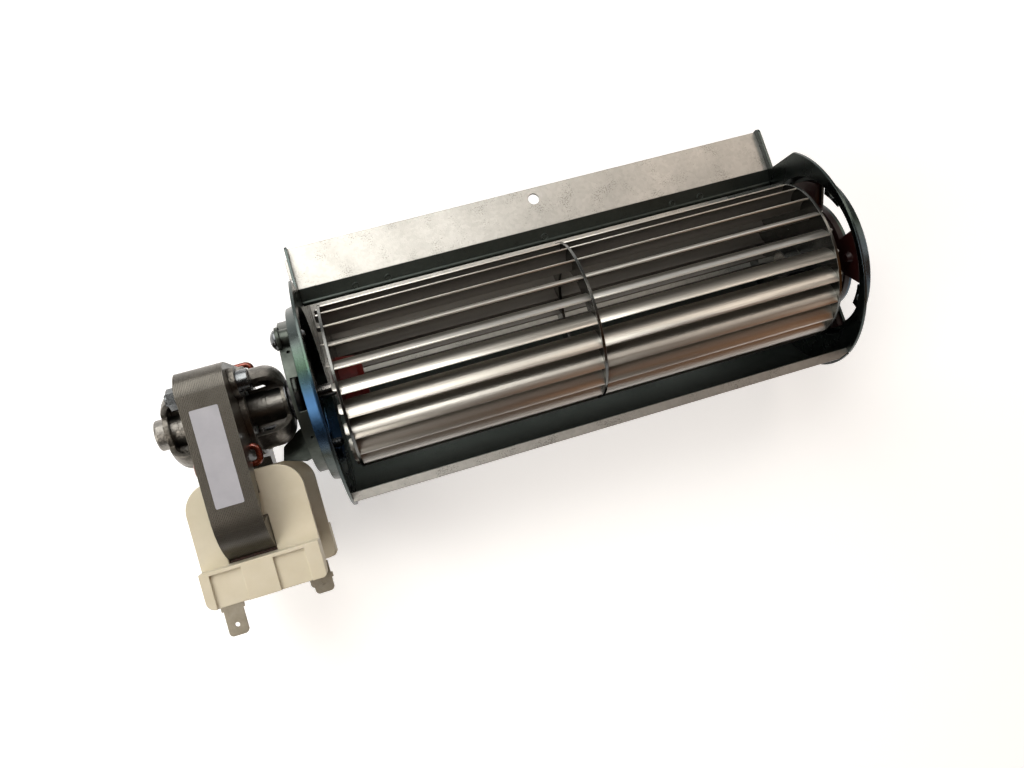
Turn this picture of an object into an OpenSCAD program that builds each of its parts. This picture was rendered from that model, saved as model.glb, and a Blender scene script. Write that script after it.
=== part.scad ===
// Tangential cooling blower for a built-in appliance. A long bladed wheel turns
// in a folded sheet casing, and a shaded-pole motor on the left end drives it.
// X runs along the shaft, from the motor to the far bearing. Y points to the
// outlet and Z up. The origin is the middle of the hole in the mounting flange,
// on the flange's top face. Angles round the shaft start at +Y and turn to +Z.

/* [Impeller] */
// Outside diameter of the bladed wheel
wheel_d = 60; // [54:1:64]
// Distance between the middles of the two end discs
wheel_len = 180; // [120:1:240]
// Number of blades
blade_count = 22; // [16:1:26]
// Circle that the inner blade edges lie on
blade_inner_d = 45; // [43:0.5:47]
// How far the outer blade edges lie inside the rim
blade_inset = 0.3; // [0.1:0.1:0.8]
// Thickness of the blade strip
blade_t = 0.5; // [0.4:0.1:0.8]
// Angle between a blade's outer edge and the rim
blade_exit = 28; // [22:1:36]
// Angle of the first blade's outer edge
blade_start = 7.6; // [0:0.1:16]
// Thickness of the end discs
disc_t = 1; // [0.8:0.1:1.5]
// Thickness of the middle ring
ring_t = 1; // [0.8:0.1:1.5]
// Width of the middle ring inside the blade slots
ring_web = 2; // [1:0.1:3]
// Solid rim of the discs and the ring, outside the blade slots
rim_w = 1.4; // [1:0.1:2]
// How far the blade tabs stand out of the end discs
tab_out = 1.5; // [0.6:0.1:2.5]
// Radial width of a blade tab
tab_w = 3.6; // [2.5:0.1:4.5]
// Play of a blade in its slots, on each side
slot_play = 0.05; // [0.02:0.01:0.1]

/* [Shafts and bearings] */
// Diameter of the motor shaft and of the stub shaft
shaft_d = 5; // [4:0.1:6]
// Radial running clearance in the bushes
run_play = 0.04; // [0.02:0.01:0.08]
// Outside diameter of the sintered bushes
bush_d = 9; // [8:0.1:10]
// Length of the motor's bushes
bush_len = 7; // [5:0.5:9]
// Length of the far bearing's bush
end_bush_len = 8; // [5:0.5:9]
// Length of the far bush that stands inside its holder
end_bush_in = 3.5; // [1:0.5:5]
// How far the stub shaft stands out past the far bush
stub_proud = 0.8; // [0.2:0.1:3]
// How far the motor shaft stands out of the rear bush
shaft_proud = 0.5; // [0.2:0.1:4]
// Diameter of the silicone drive hub
hub_d = 19; // [14:0.5:24]
// Length of the drive hub inside the wheel
hub_len = 9; // [6:0.5:12]
// Diameter of the steel sleeve in the drive hub
sleeve_d = 9; // [8:0.1:11]
// Width of the snap groove that holds the hub in its disc
hub_lip = 2; // [1:0.1:3]
// Diameter of the end disc's pressed boss
boss_d = 12; // [9:0.5:16]
// Length of the end disc's pressed boss
boss_len = 6; // [4:0.5:8]
// Diameter of the thrust spacers
spacer_d = 7.6; // [6.5:0.1:8.5]
// Play of the turning parts along the shaft, at each bush
end_play = 0.3; // [0.2:0.05:0.5]

/* [Casing] */
// Thickness of the galvanised sheet
sheet_t = 1; // [0.8:0.1:1.2]
// Space from the middle of an end disc to the end plate beside it
end_gap = 6.5; // [4.5:0.1:8]
// Inside radius of the scroll
scroll_r = 41; // [39:0.5:46]
// How far the middle of the scroll lies towards the outlet
scroll_shift = 1.5; // [0:0.1:4]
// How far the middle of the scroll lies below the shaft
scroll_drop = 9.5; // [6:0.1:12]
// Angle at which the scroll ends in its lip
lip_angle = 164; // [155:1:170]
// Width of the lip turned outwards
lip_w = 3.4; // [2:0.1:6]
// Length of the lip that runs through the far end plate
lip_over = 2; // [0.5:0.1:4]
// Length of the lip's cut corner
lip_cut = 7; // [3:0.5:10]
// Width that the cut corner leaves at the lip's end
lip_end_w = 0.8; // [0.4:0.1:1.5]
// Reach of the outlet from the shaft
outlet_reach = 58; // [54:0.5:66]
// How far the end plates stand out past the scroll
plate_edge = 1.3; // [0.5:0.1:2.5]
// Reach of the straight shoulder of the end plates from the shaft
shoulder_reach = 39.7; // [39:0.1:41]
// Lean of that shoulder
shoulder_lean = 6.4; // [3:0.1:9]
// Radius of the outer corners of the outlet cheeks
cheek_r = 2; // [1:0.5:4]

/* [Flange and tongue] */
// Height of the shaft above the flange's top face
shaft_rise = 8.5; // [7:0.1:10]
// Distance from the outlet's edge to the flange hole
hole_back = 4.9; // [3.5:0.1:8]
// Diameter of the flange hole
hole_d = 4.4; // [3:0.1:6]
// Distance from the shaft to the flange's inner fold
flange_start = 41.2; // [40.5:0.1:44]
// Flange edge set back from the outlet's edge
flange_back = 0.4; // [0.2:0.1:2]
// How far the cheeks stand up past the flange
cheek_proud = 3; // [1.5:0.1:5]
// Length of the sloped tongue
tongue_len = 5.8; // [4:0.1:6]
// Slope of the tongue
tongue_slope = 20.3; // [10:0.1:35]
// Depth of the fold that stiffens the tongue's edge
nose_len = 5; // [3:0.1:8]
// Angle of that fold below the horizontal
nose_turn = 78; // [60:1:90]
// Length of the locking tabs that join the sheets to the end plates
lock_len = 8; // [5:0.5:12]
// How far the locking tabs stand out of the end plates
lock_out = 1.2; // [0.6:0.1:2.5]
// How much thinner the tongue's locking tabs are pressed
lock_press = 0.1; // [0.05:0.05:0.3]
// Play of the locking tabs in their slots
lock_play = 0.15; // [0.05:0.01:0.3]
// Place of the first locking tab of the scroll's floor
floor_lock_a = 20; // [8:0.5:28]
// Place of the second locking tab of the scroll's floor
floor_lock_b = 45; // [38:0.5:50]
// Angle of the first locking tab of the scroll's round back
back_lock_a = 200; // [185:1:215]
// Angle of the second locking tab of the scroll's round back
back_lock_b = 240; // [228:1:255]

/* [End plate dish] */
// Radius of the drawn dish at the flat of the plate
dish_r = 31.4; // [31:0.1:32]
// Depth of the dish
dish_depth = 3.5; // [2:0.1:5]
// Inward slope of the dish wall over its depth
dish_slope = 1; // [0.5:0.1:1.5]
// Outer radius of the four windows
window_out_r = 28; // [27:0.1:28.4]
// Inner radius of the four windows
window_in_r = 20.5; // [19:0.1:22]
// Angle of the middle of the first window
window_at = 64.7; // [55:0.1:75]
// Half of the angle that a window covers
window_half = 24; // [18:0.5:28]
// Angle of the first screw lug
lug_at = 54.5; // [50:0.1:60]
// Half of the angle that a lug covers
lug_half = 10; // [7:0.5:12]
// Radius that the lugs reach in to
lug_in_r = 25.5; // [24:0.1:26]
// Radius of the circle of screws
screw_circle = 28.2; // [27.5:0.1:28.4]

/* [Far bearing holder] */
// Thickness of the silicone spider
spider_t = 2; // [1.5:0.1:3]
// Outer radius of the spider's arms
spider_r = 29; // [26:0.5:29.5]
// Half of the angle that an arm covers
spider_half = 19; // [12:0.5:22]
// Radius of the round opening in the plate behind the spider
spider_hole_r = 19.4; // [18.5:0.1:20]
// Radius of the spider's middle disc
spider_disc_r = 17; // [14:0.1:18]
// Angle of the first slot round the spider's middle disc
spider_slot_at = 136.5; // [120:0.5:150]
// Angle between the three slots of a group
spider_slot_step = 26; // [22:0.5:30]
// Half of the angle that a slot covers
spider_slot_half = 9.5; // [6:0.5:10]
// Diameter of the spider's hub
spider_hub_d = 15; // [12:0.5:20]
// Length of the spider's hub on each side of its disc
spider_hub_out = 2.5; // [1:0.1:4]
// Diameter of the knobs that hold the spider to the plate
knob_d = 4; // [3:0.1:5]
// How far the knobs' barbs stand out all round
knob_barb = 0.6; // [0.3:0.1:1]
// Length of the knobs' pointed ends
knob_tip = 1.6; // [1:0.1:2.5]
// Radius of the circle of knobs
knob_circle = 24; // [22.5:0.1:25]

/* [Motor bracket] */
// Thickness of the motor bracket
bracket_t = 1.2; // [1:0.1:2]
// Depth of the motor bracket's wall, from its floor to the end plate
bracket_gap = 3; // [1.5:0.1:4]
// Radius of the bracket's wall
bracket_r = 27.5; // [26:0.5:28]
// Inner radius of the ring of the bracket's floor
bracket_in_r = 23; // [21:0.5:24]
// Angle of the middle of the first notch in the bracket's wall
notch_at = 98; // [90:1:110]
// Half of the angle that a notch covers
notch_half = 12; // [6:1:14]
// Rim of the bracket's ears round the screws' heads
ear_rim = 0.8; // [0.4:0.1:1.5]
// Width of the bracket's arms
arm_w = 11; // [8:0.5:16]
// Radius of the plate in the middle of the bracket
centre_r = 14.5; // [11:0.5:16]
// Radius of the grommet's body
grommet_r = 6.9; // [6.5:0.1:8]
// How far the grommet's body stands out towards the motor
grommet_out = 2.5; // [2:0.1:3]
// Width and thickness of the grommet's flange behind the bracket
grommet_lip = 1.2; // [0.8:0.1:1.8]
// Radius of the opening in the motor's end plate round the grommet
nose_hole_r = 12.5; // [10:0.1:14]
// Depth of the bracket's shelf below the shaft's plane
shelf_drop = 12.6; // [12.4:0.1:13.5]
// How far the shelf reaches towards the motor
shelf_len = 12.8; // [8:0.1:13]
// Length of the shelf's straight root
shelf_root = 6; // [4:0.1:7]
// Distance from the shaft to the shelf's near edge
shelf_near = 8; // [8:0.1:9]
// Distance from the shaft to the shelf's far edge
shelf_far = 20; // [16:0.1:21]
// How far the shelf swings outwards to its tip
shelf_swing = 6; // [4:0.1:8]
// Angles of the small holes in the bracket's wall
pin_holes_at = [45, 66, 130]; // [40:1:160]
// Radius of the small holes in the bracket's wall
pin_hole_r = 0.6; // [0.4:0.1:1]
// Diameter of the plate screws
screw_d = 3.5; // [3:0.1:4]
// Diameter of the plate screws' heads
screw_head_d = 7; // [6:0.1:7.5]
// Height of the plate screws' heads
screw_head_h = 2.3; // [1.8:0.1:3]
// How far the screw tips reach past the end plate's floor
screw_tip = 4.1; // [2:0.1:4.5]
// Length of the screws' points
screw_point = 1; // [0.5:0.1:1.5]
// Width and depth of the cross in the screws' heads
cross_w = 0.8; // [0.5:0.1:1]
// Wall of the bosses round the screws
boss_wall = 1.4; // [1:0.1:2]

/* [Motor] */
// Tilt of the motor about the shaft
motor_tilt = 7; // [0:0.5:15]
// Place of the front face of the lamination stack, from the drive disc
stack_front = -33.5; // [-36:0.1:-32]
// Thickness of the lamination stack
stack_t = 15.8; // [12:0.1:20]
// Width of the laminations
stack_w = 61; // [59:0.5:64]
// Height of the stack above the shaft
stack_top = 16.7; // [16:0.1:18]
// Depth of the stack below the shaft
stack_bottom = 47.5; // [46:0.1:52]
// Radius of the lower corners of the laminations
stack_low_r = 17; // [12:0.5:20]
// Radius of the upper corners of the laminations
stack_top_r = 8.5; // [3:0.1:9]
// Width of the side limbs
limb_w = 10.5; // [9:0.1:12]
// Height of the coil's leg
leg_h = 12; // [10:0.1:13]
// Depth of the pole block below the shaft
pole_depth = 17; // [15:0.1:19]
// Diameter of the rotor
rotor_d = 26; // [24:0.5:26.5]
// Air gap round the rotor
air_gap = 0.35; // [0.25:0.05:0.5]
// Length of the rotor's end rings, inside the bore
end_ring_len = 2.2; // [1.5:0.1:3]
// How far the end rings lie inside the rotor's outside
end_ring_set = 0.6; // [0.3:0.1:2]
// Radial width of the rotor's end rings
end_ring_w = 3.5; // [2:0.1:5]
// Length of the pressed locks that show on the stack's faces
press_lock_len = 4; // [2:0.1:6]
// Width of the pressed locks
press_lock_w = 1.1; // [0.6:0.1:2]
// Depth of the pressed locks
press_lock_d = 0.6; // [0.3:0.1:1]
// Height of the upper pressed locks above the shaft
press_lock_high = 11.8; // [8:0.1:12]
// Depth of the lower pressed locks below the shaft
press_lock_low = 25.8; // [20:0.1:30]
// Distance of the pressed locks from the middle plane
press_lock_z = 22.6; // [22.5:0.1:28]
// Distance of the bracket screws from the middle plane
stack_screw_z = 17.5; // [16.5:0.1:19]
// Height of the upper bracket screw above the shaft, and depth of the lower one
stack_screw_y = 9.5; // [7:0.1:11]
// Diameter of the bracket screws
stack_screw_d = 4; // [3:0.1:4.5]
// Diameter of the bracket screws' heads
stack_head_d = 7.5; // [6.5:0.1:8]
// Height of the bracket screws' heads
stack_head_h = 3.7; // [2:0.1:4]
// Height of the bracket nuts
nut_h = 3; // [2:0.1:4]
// How far the bracket screws stand out of their nuts
stack_screw_proud = 1; // [0.5:0.1:3]
// Thickness of the copper wire of the shading rings
ring_wire = 2.2; // [1.6:0.1:2.4]
// Bend of the shading rings' corners, to the wire's middle
ring_bend = 2; // [1.4:0.1:2.2]
// How far the shading rings stand out of the stack
ring_out = 3.4; // [2.4:0.1:4.5]
// Distance of a shading ring's inner wire from the shaft's plane
shading_y = 12.4; // [11.5:0.1:13]
// Distance between the two wires of a shading ring
shading_span = 5.8; // [4.5:0.1:6]
// Distance of the shading rings from the middle plane
shading_z = 17; // [15.5:0.1:18]

/* [Bearing brackets] */
// Thickness of the feet of the bearing brackets
foot_t = 2; // [1.5:0.1:3]
// Width of the foot's rim round the bell
foot_rim = 1.5; // [1:0.1:2]
// Radius of the bells
bell_r = 14.6; // [14.4:0.1:16]
// Length of the front bell
bell_len = 14.8; // [12:0.1:15]
// Length of the rear bell
rear_bell_len = 11.8; // [10:0.1:14]
// Rounding of the bells' far edges
bell_bend = 7; // [3:0.1:7]
// Wall of the bells
bell_t = 1.8; // [1.4:0.1:2.2]
// Half of the angle that an opening in a bell covers
bell_open_half = 42; // [26:1:46]
// Width of the end wall left round the barrel
bell_web = 2; // [1.5:0.1:3]
// Diameter of the barrels
barrel_d = 11; // [10.5:0.1:12]
// How much wider the barrels are at their root
barrel_step = 0.2; // [0.1:0.05:0.5]
// Length of the wider root
barrel_root = 7.3; // [4:0.1:9]
// Rounding of the barrels' ends
barrel_bend = 0.8; // [0.4:0.1:1.2]
// Gap between the rotor and the barrels
barrel_gap = 0.6; // [0.4:0.1:1]
// How far the front barrel reaches past its bell
nose_out = 5; // [4:0.1:5.4]
// How far the rear barrel reaches past its bell
tail_out = 4; // [1:0.1:5]

/* [Coil and terminals] */
// Length of the coil former along the leg
former_len = 39.6; // [34:0.1:39.8]
// Thickness of the former's flanges
former_flange = 1.5; // [1.2:0.1:2]
// Width of the former's flanges
former_w = 38.8; // [37:0.1:42]
// How far the middle of the flanges lies from the middle of the stack
former_shift = 2.4; // [0:0.1:3]
// Distance from the shaft to the top of the former
former_top = 20.2; // [20:0.1:23]
// Distance from the shaft to the bottom of the former
former_bottom = 60; // [58:0.5:64]
// Radius of the upper corners of the former's flanges
former_r = 9; // [8:0.5:12]
// Radius of the lower corners of the former's flanges
former_low_r = 3; // [1:0.5:4]
// Wall of the former's tube
tube_t = 1.2; // [1:0.1:1.6]
// Clearance of the leg in the former
leg_play = 0.15; // [0.1:0.05:0.3]
// Thickness of the winding round the tube
coil_t = 7; // [5:0.1:7.2]
// Depth of the terminal blocks in front of the flanges
block_d = 5.6; // [4:0.1:7]
// Height of the terminal blocks
block_h = 12.2; // [9:0.1:12.4]
// Radius of the lower outer corners of the terminal blocks
block_r = 3; // [2:0.5:5]
// Depth of the recessed panels in the terminal blocks
panel_d = 1; // [0.5:0.1:1.5]
// Width of the rim beside the first panel
panel_edge = 3.1; // [2:0.1:4]
// Width of a recessed panel
panel_w = 10.3; // [8:0.1:12]
// Rim above the recessed panels
panel_rim = 1.2; // [0.8:0.1:2]
// Width of the spade terminals
spade_w = 6.3; // [4.8:0.1:6.5]
// Thickness of the spade terminals
spade_t = 0.8; // [0.5:0.1:1]
// Length of the spade terminals outside their block
spade_out = 10; // [6:0.1:11]
// Length of the spade terminals inside their block
spade_in = 4; // [2:0.1:6]
// How far the spade terminals' shoulders stand out on each side
shoulder_out = 0.6; // [0.3:0.1:1]
// Length of the shoulders outside their block
shoulder_len = 1.6; // [1:0.1:3]
// Radius of the spade terminals' corners
spade_r = 1.4; // [0.5:0.1:2]
// Diameter of the spade terminals' holes
spade_hole_d = 1.6; // [1:0.1:2]
// Distance from the spade terminals' ends to their holes
spade_hole_up = 3.4; // [2.5:0.1:4.5]
// Distance of the spades from the faces of their blocks
spade_set_in = 1.6; // [1.5:0.1:2.5]
// Place of the front spade beside the coil's middle
line_spade_off = -9.7; // [-12:0.1:-7]
// Place of the rear spade beside the coil's middle
earth_spade_off = 12; // [8:0.1:14]
// Place of the inner spade beside the coil's middle
inner_spade_off = 19; // [10:0.1:19]
// How much shorter the inner spade stands out
inner_spade_back = 4.1; // [0:0.1:5]

/* [Hidden] */
$fn = 64;
wheel_r = wheel_d / 2;
hole_reach = outlet_reach - hole_back;
shaft_r = shaft_d / 2;
bush_r = bush_d / 2;
plate_left = -end_gap;
plate_right = wheel_len + end_gap;
plate_r = scroll_r + sheet_t + plate_edge;
floor_z = -scroll_drop - scroll_r;
cheek_top = cheek_proud - shaft_rise;
lip_y = scroll_shift + scroll_r * cos(lip_angle);
lip_top = -scroll_drop + (scroll_r + sheet_t) * sin(lip_angle);
arm_at = window_at + 45;
screw_r = screw_d / 2;
floor_locks = [floor_lock_a, floor_lock_b];
scroll_lock_angles = [back_lock_a, back_lock_b];

// The blade is an arc that leaves the inner circle radially
blade_out_r = wheel_r - blade_inset;
blade_in_r = blade_inner_d / 2;
blade_arc = (pow(blade_out_r, 2) - pow(blade_in_r, 2)) / (2 * blade_out_r * cos(blade_exit));
arc_at_r = sqrt(pow(blade_in_r, 2) + pow(blade_arc, 2));
tip_turn = acos((pow(blade_out_r, 2) + pow(arc_at_r, 2) - pow(blade_arc, 2)) / (2 * blade_out_r * arc_at_r));
tab_out_r = wheel_r - rim_w;
tab_in_r = tab_out_r - tab_w;
ring_at = wheel_len / 2;

// Places along the shaft, from the drive disc
floor_left = plate_left - dish_depth;
bracket_face = floor_left - sheet_t - bracket_gap;
bracket_back = bracket_face - bracket_t;
stack_back = stack_front - stack_t;
bell_end = stack_front + bell_len;
nose_end = bell_end + nose_out;
tail_end = stack_back - rear_bell_len - tail_out;
shaft_back = tail_end - shaft_proud;
rotor_r = rotor_d / 2;
bore_r = rotor_r + air_gap;
floor_right = plate_right + dish_depth;
end_bush_start = floor_right - spider_t - end_bush_in;
stub_end = end_bush_start + end_bush_len + stub_proud;

// The coil's leg in the motor's own frame
leg_low = -stack_bottom;
leg_high = leg_low + leg_h;
limb_in = stack_w / 2 - limb_w;
stack_mid = (stack_front + stack_back) / 2;
former_x = stack_mid + former_shift;
former_z = former_len / 2;
spade_root = spade_in - former_bottom;
block_spade_z = former_z + block_d - spade_set_in - spade_t;
line_spade_x = stack_mid + line_spade_off;
earth_spade_x = stack_mid + earth_spade_off;
inner_spade_x = stack_mid + inner_spade_off;
winding_low = leg_low - leg_play - tube_t - coil_t;

function polar(r, a) = [r * cos(a), r * sin(a)];
function unit(v) = v / norm(v);
function left_of(v) = [-v[1], v[0]];
function bend_out(p, i, t) =
    let (
        before = i > 0 ? unit(p[i] - p[i - 1]) : unit(p[1] - p[0]),
        after = i < len(p) - 1 ? unit(p[i + 1] - p[i]) : before,
        mid = unit(left_of(before) + left_of(after))
    )
    p[i] + mid * t / (mid * left_of(before));

module at_shaft() { translate([-wheel_len / 2, -hole_reach, shaft_rise]) children(); }
module at_motor() { at_shaft() rotate([motor_tilt, 0, 0]) children(); }
module along_x(from, to) { translate([from, 0, 0]) rotate([90, 0, 90]) linear_extrude(to - from) children(); }
module turned(at = 0) { translate([at, 0, 0]) rotate([0, 90, 0]) rotate_extrude($fn = 96) children(); }
module rod(r, from, to) { translate([from, 0, 0]) rotate([0, 90, 0]) cylinder(r = r, h = to - from); }
module tube(r_out, r_in, from, to) {
    difference() {
        rod(r_out, from, to);
        rod(r_in, from - 1, to + 1);
    }
}
module wedge(a, b, r) {
    steps = ceil((b - a) / 60);
    polygon(concat([[0, 0]], [for (i = [0:steps]) polar(r, a + (b - a) * i / steps)]));
}
module ring_part(r_in, r_out, a, b) {
    intersection() {
        difference() {
            circle(r_out);
            circle(r_in);
        }
        wedge(a, b, r_out * 2);
    }
}
module corner_cut(x, y, r, sx, sy) {
    translate([x, y]) mirror([sx < 0 ? 1 : 0, 0]) mirror([0, sy < 0 ? 1 : 0]) difference() {
        translate([-1, -1]) square(r + 1);
        translate([r, r]) circle(r);
    }
}
module folded(p, t) {
    polygon(concat(p, [for (i = [len(p) - 1:-1:0]) bend_out(p, i, t)]));
}
module around(count, at) { for (i = [0:count - 1]) rotate([at + i * 360 / count, 0, 0]) children(); }
module around_flat(count, at) { for (i = [0:count - 1]) rotate(at + i * 360 / count) children(); }

// One blade's section between two radii, wider by the play all round
module blade_section(r_in, r_out, play) {
    rotate(tip_turn) intersection() {
        translate([arc_at_r, 0]) difference() {
            circle(blade_arc + blade_t / 2 + play);
            circle(blade_arc - blade_t / 2 - play);
        }
        difference() {
            circle(r_out + play);
            circle(r_in - play);
        }
        wedge(-45, 0, wheel_d);
    }
}

module blade() {
    along_x(disc_t / 2, ring_at - ring_t / 2) blade_section(blade_in_r, blade_out_r, 0);
    along_x(ring_at - ring_t / 2, ring_at + ring_t / 2) blade_section(blade_in_r, tab_out_r, 0);
    along_x(ring_at + ring_t / 2, wheel_len - disc_t / 2) blade_section(blade_in_r, blade_out_r, 0);
    along_x(-disc_t / 2 - tab_out, disc_t / 2) blade_section(tab_in_r, tab_out_r, 0);
    along_x(wheel_len - disc_t / 2, wheel_len + disc_t / 2 + tab_out) blade_section(tab_in_r, tab_out_r, 0);
}

module blades() {
    color("lightslategray") at_shaft() around(blade_count, blade_start) blade();
}

module slotted_disc(at, t, hole_r, slot_in_r) {
    along_x(at - t / 2, at + t / 2) difference() {
        circle(wheel_r);
        circle(hole_r);
        around_flat(blade_count, blade_start) blade_section(slot_in_r, tab_out_r, slot_play);
    }
}

module drive_disc() {
    color("silver") at_shaft() slotted_disc(0, disc_t, hub_d / 2 - hub_lip / 2, tab_in_r);
}

module middle_ring() {
    color("silver") at_shaft() slotted_disc(ring_at, ring_t, blade_in_r - ring_web, blade_in_r);
}

module end_disc() {
    color("silver") at_shaft() {
        slotted_disc(wheel_len, disc_t, boss_d / 2 - sheet_t, tab_in_r);
        tube(boss_d / 2, boss_d / 2 - sheet_t, wheel_len - disc_t / 2 - boss_len, wheel_len - disc_t / 2);
    }
}

// The hub snaps into the disc: its groove is as wide as the disc is thick
module drive_hub() {
    groove_r = hub_d / 2 - hub_lip / 2;
    color("firebrick") at_shaft() turned() polygon([
        [sleeve_d / 2, -disc_t / 2 - hub_lip], [groove_r + hub_lip / 2, -disc_t / 2 - hub_lip / 2],
        [groove_r + hub_lip / 2, -disc_t / 2], [groove_r, -disc_t / 2], [groove_r, disc_t / 2],
        [groove_r + hub_lip, disc_t / 2], [groove_r + hub_lip / 2, hub_len - hub_lip],
        [groove_r - hub_lip / 2, hub_len], [sleeve_d / 2, hub_len]
    ]);
}

module drive_sleeve() {
    color("dimgray") at_shaft() tube(sleeve_d / 2, shaft_r, -disc_t / 2 - hub_lip, hub_len);
}

module stub_shaft() {
    color("silver") at_shaft() {
        rod(shaft_r, wheel_len - boss_len, stub_end);
        rod(boss_d / 2 - sheet_t, wheel_len - disc_t / 2 - boss_len, wheel_len + disc_t / 2);
    }
}

module motor_shaft() {
    color("lightgray") at_shaft() rod(shaft_r, shaft_back, hub_len);
}

module rotor_core() {
    color("gray") at_motor() tube(rotor_r, shaft_r, stack_back + end_ring_len, stack_front - end_ring_len);
}

module rotor_cage() {
    ring_r = rotor_r - end_ring_set;
    color("gainsboro") at_motor() {
        tube(ring_r, ring_r - end_ring_w, stack_front - end_ring_len, stack_front);
        tube(ring_r, ring_r - end_ring_w, stack_back, stack_back + end_ring_len);
    }
}

// Sleeves on the shafts that keep the rotor and the wheel between the bushes
module thrust_spacers() {
    color("ivory") at_shaft() {
        tube(spacer_d / 2, shaft_r, wheel_len + disc_t / 2, end_bush_start - end_play);
        tube(spacer_d / 2, shaft_r, stack_front - end_ring_len, nose_end - bush_len - end_play);
        tube(spacer_d / 2, shaft_r, tail_end + bush_len + end_play, stack_back + end_ring_len);
    }
}

// Side view of the scroll: its lip, the round back and the flat floor
module scroll_profile() {
    translate([scroll_shift, -scroll_drop]) ring_part(scroll_r, scroll_r + sheet_t, lip_angle, 270);
    translate([scroll_shift, floor_z - sheet_t]) square([outlet_reach - scroll_shift, sheet_t]);
}

// Places of the locking tabs on the scroll, drawn with a play round them
module scroll_locks(play) {
    half = asin(lock_len / 2 / scroll_r);
    grow = asin(play / scroll_r);
    for (a = scroll_lock_angles)
        translate([scroll_shift, -scroll_drop])
            ring_part(scroll_r - play, scroll_r + sheet_t + play, a - half - grow, a + half + grow);
    for (y = floor_locks)
        translate([y - lock_len / 2 - play, floor_z - sheet_t - play])
            square([lock_len + 2 * play, sheet_t + 2 * play]);
}

// The lip runs through the far end plate and has a cut corner there
module lip() {
    far = plate_right + sheet_t + lip_over;
    translate([0, 0, lip_top - sheet_t]) linear_extrude(sheet_t) polygon([
        [plate_left, lip_y], [plate_left, lip_y - lip_w], [far - lip_cut, lip_y - lip_w],
        [far, lip_y - lip_end_w], [far, lip_y]
    ]);
}

module scroll_sheet() {
    color("lightgray") at_shaft() {
        along_x(plate_left, plate_right) scroll_profile();
        along_x(plate_left - sheet_t - lock_out, plate_right + sheet_t + lock_out) scroll_locks(0);
        lip();
    }
}

// Side view of the tongue: flange, slope and the fold at its edge
module tongue_profile() {
    edge = outlet_reach - flange_back;
    fold = [flange_start, -shaft_rise];
    nose = fold - tongue_len * polar(1, tongue_slope);
    folded([[edge, -shaft_rise], fold, nose, nose + nose_len * polar(1, -nose_turn)], sheet_t);
}

module tongue_locks(play) {
    mid = (flange_start + outlet_reach) / 2;
    translate([mid - lock_len / 2 - play, -shaft_rise - sheet_t - play])
        square([lock_len + 2 * play, sheet_t - lock_press + 2 * play]);
}

module tongue_sheet() {
    color("whitesmoke") at_shaft() difference() {
        union() {
            along_x(plate_left, plate_right) tongue_profile();
            along_x(plate_left - sheet_t - lock_out, plate_right + sheet_t + lock_out) tongue_locks(0);
        }
        translate([wheel_len / 2, hole_reach, -shaft_rise - 2 * sheet_t])
            cylinder(d = hole_d, h = 3 * sheet_t);
    }
}

module plate_outline() {
    bottom = -scroll_drop - plate_r;
    difference() {
        union() {
            intersection() {
                translate([scroll_shift, -scroll_drop]) circle(plate_r);
                rotate(shoulder_lean) translate([-2 * plate_r, -2 * plate_r])
                    square([2 * plate_r + shoulder_reach * cos(shoulder_lean), 4 * plate_r]);
            }
            translate([scroll_shift, bottom]) square([outlet_reach - scroll_shift, cheek_top - bottom]);
        }
        corner_cut(outlet_reach, bottom, cheek_r, -1, 1);
        corner_cut(outlet_reach, cheek_top, cheek_r, -1, -1);
    }
}

module window() {
    difference() {
        ring_part(window_in_r, window_out_r, window_at - window_half, window_at + window_half);
        ring_part(lug_in_r, window_out_r + 1, lug_at - lug_half, lug_at + lug_half);
    }
}

// The drawn dish, with its mouth at x = 0 and its floor towards -x
module dish(hole_r) {
    turned() polygon([
        [dish_r, 0], [dish_r + sheet_t, 0], [dish_r + sheet_t - dish_slope, -dish_depth - sheet_t],
        [hole_r, -dish_depth - sheet_t], [hole_r, -dish_depth], [dish_r - dish_slope, -dish_depth]
    ]);
}

module end_plate(hole_r) {
    difference() {
        union() {
            along_x(-sheet_t, 0) difference() {
                plate_outline();
                circle(dish_r + sheet_t / 2);
                scroll_locks(lock_play);
                tongue_locks(lock_play);
            }
            dish(hole_r);
        }
        along_x(-dish_depth - 2 * sheet_t, -dish_depth + sheet_t) {
            around_flat(4, 0) window();
            around_flat(4, lug_at) translate([screw_circle, 0]) circle(screw_r);
        }
    }
}

module motor_end_plate() {
    color("cadetblue") at_shaft() translate([plate_left, 0, 0]) end_plate(nose_hole_r);
}

module bearing_end_plate() {
    color("slategray") at_shaft() difference() {
        translate([plate_right, 0, 0]) mirror([1, 0, 0]) end_plate(spider_hole_r);
        around(4, arm_at) translate([0, knob_circle, 0])
            rod(knob_d / 2, floor_right - sheet_t, floor_right + 2 * sheet_t);
        along_x(plate_right - 1, plate_right + 2 * sheet_t)
            translate([lip_y - 2 * lip_w, lip_top - sheet_t - lock_play])
                square([2 * lip_w + lock_play, sheet_t + 2 * lock_play]);
    }
}

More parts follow.
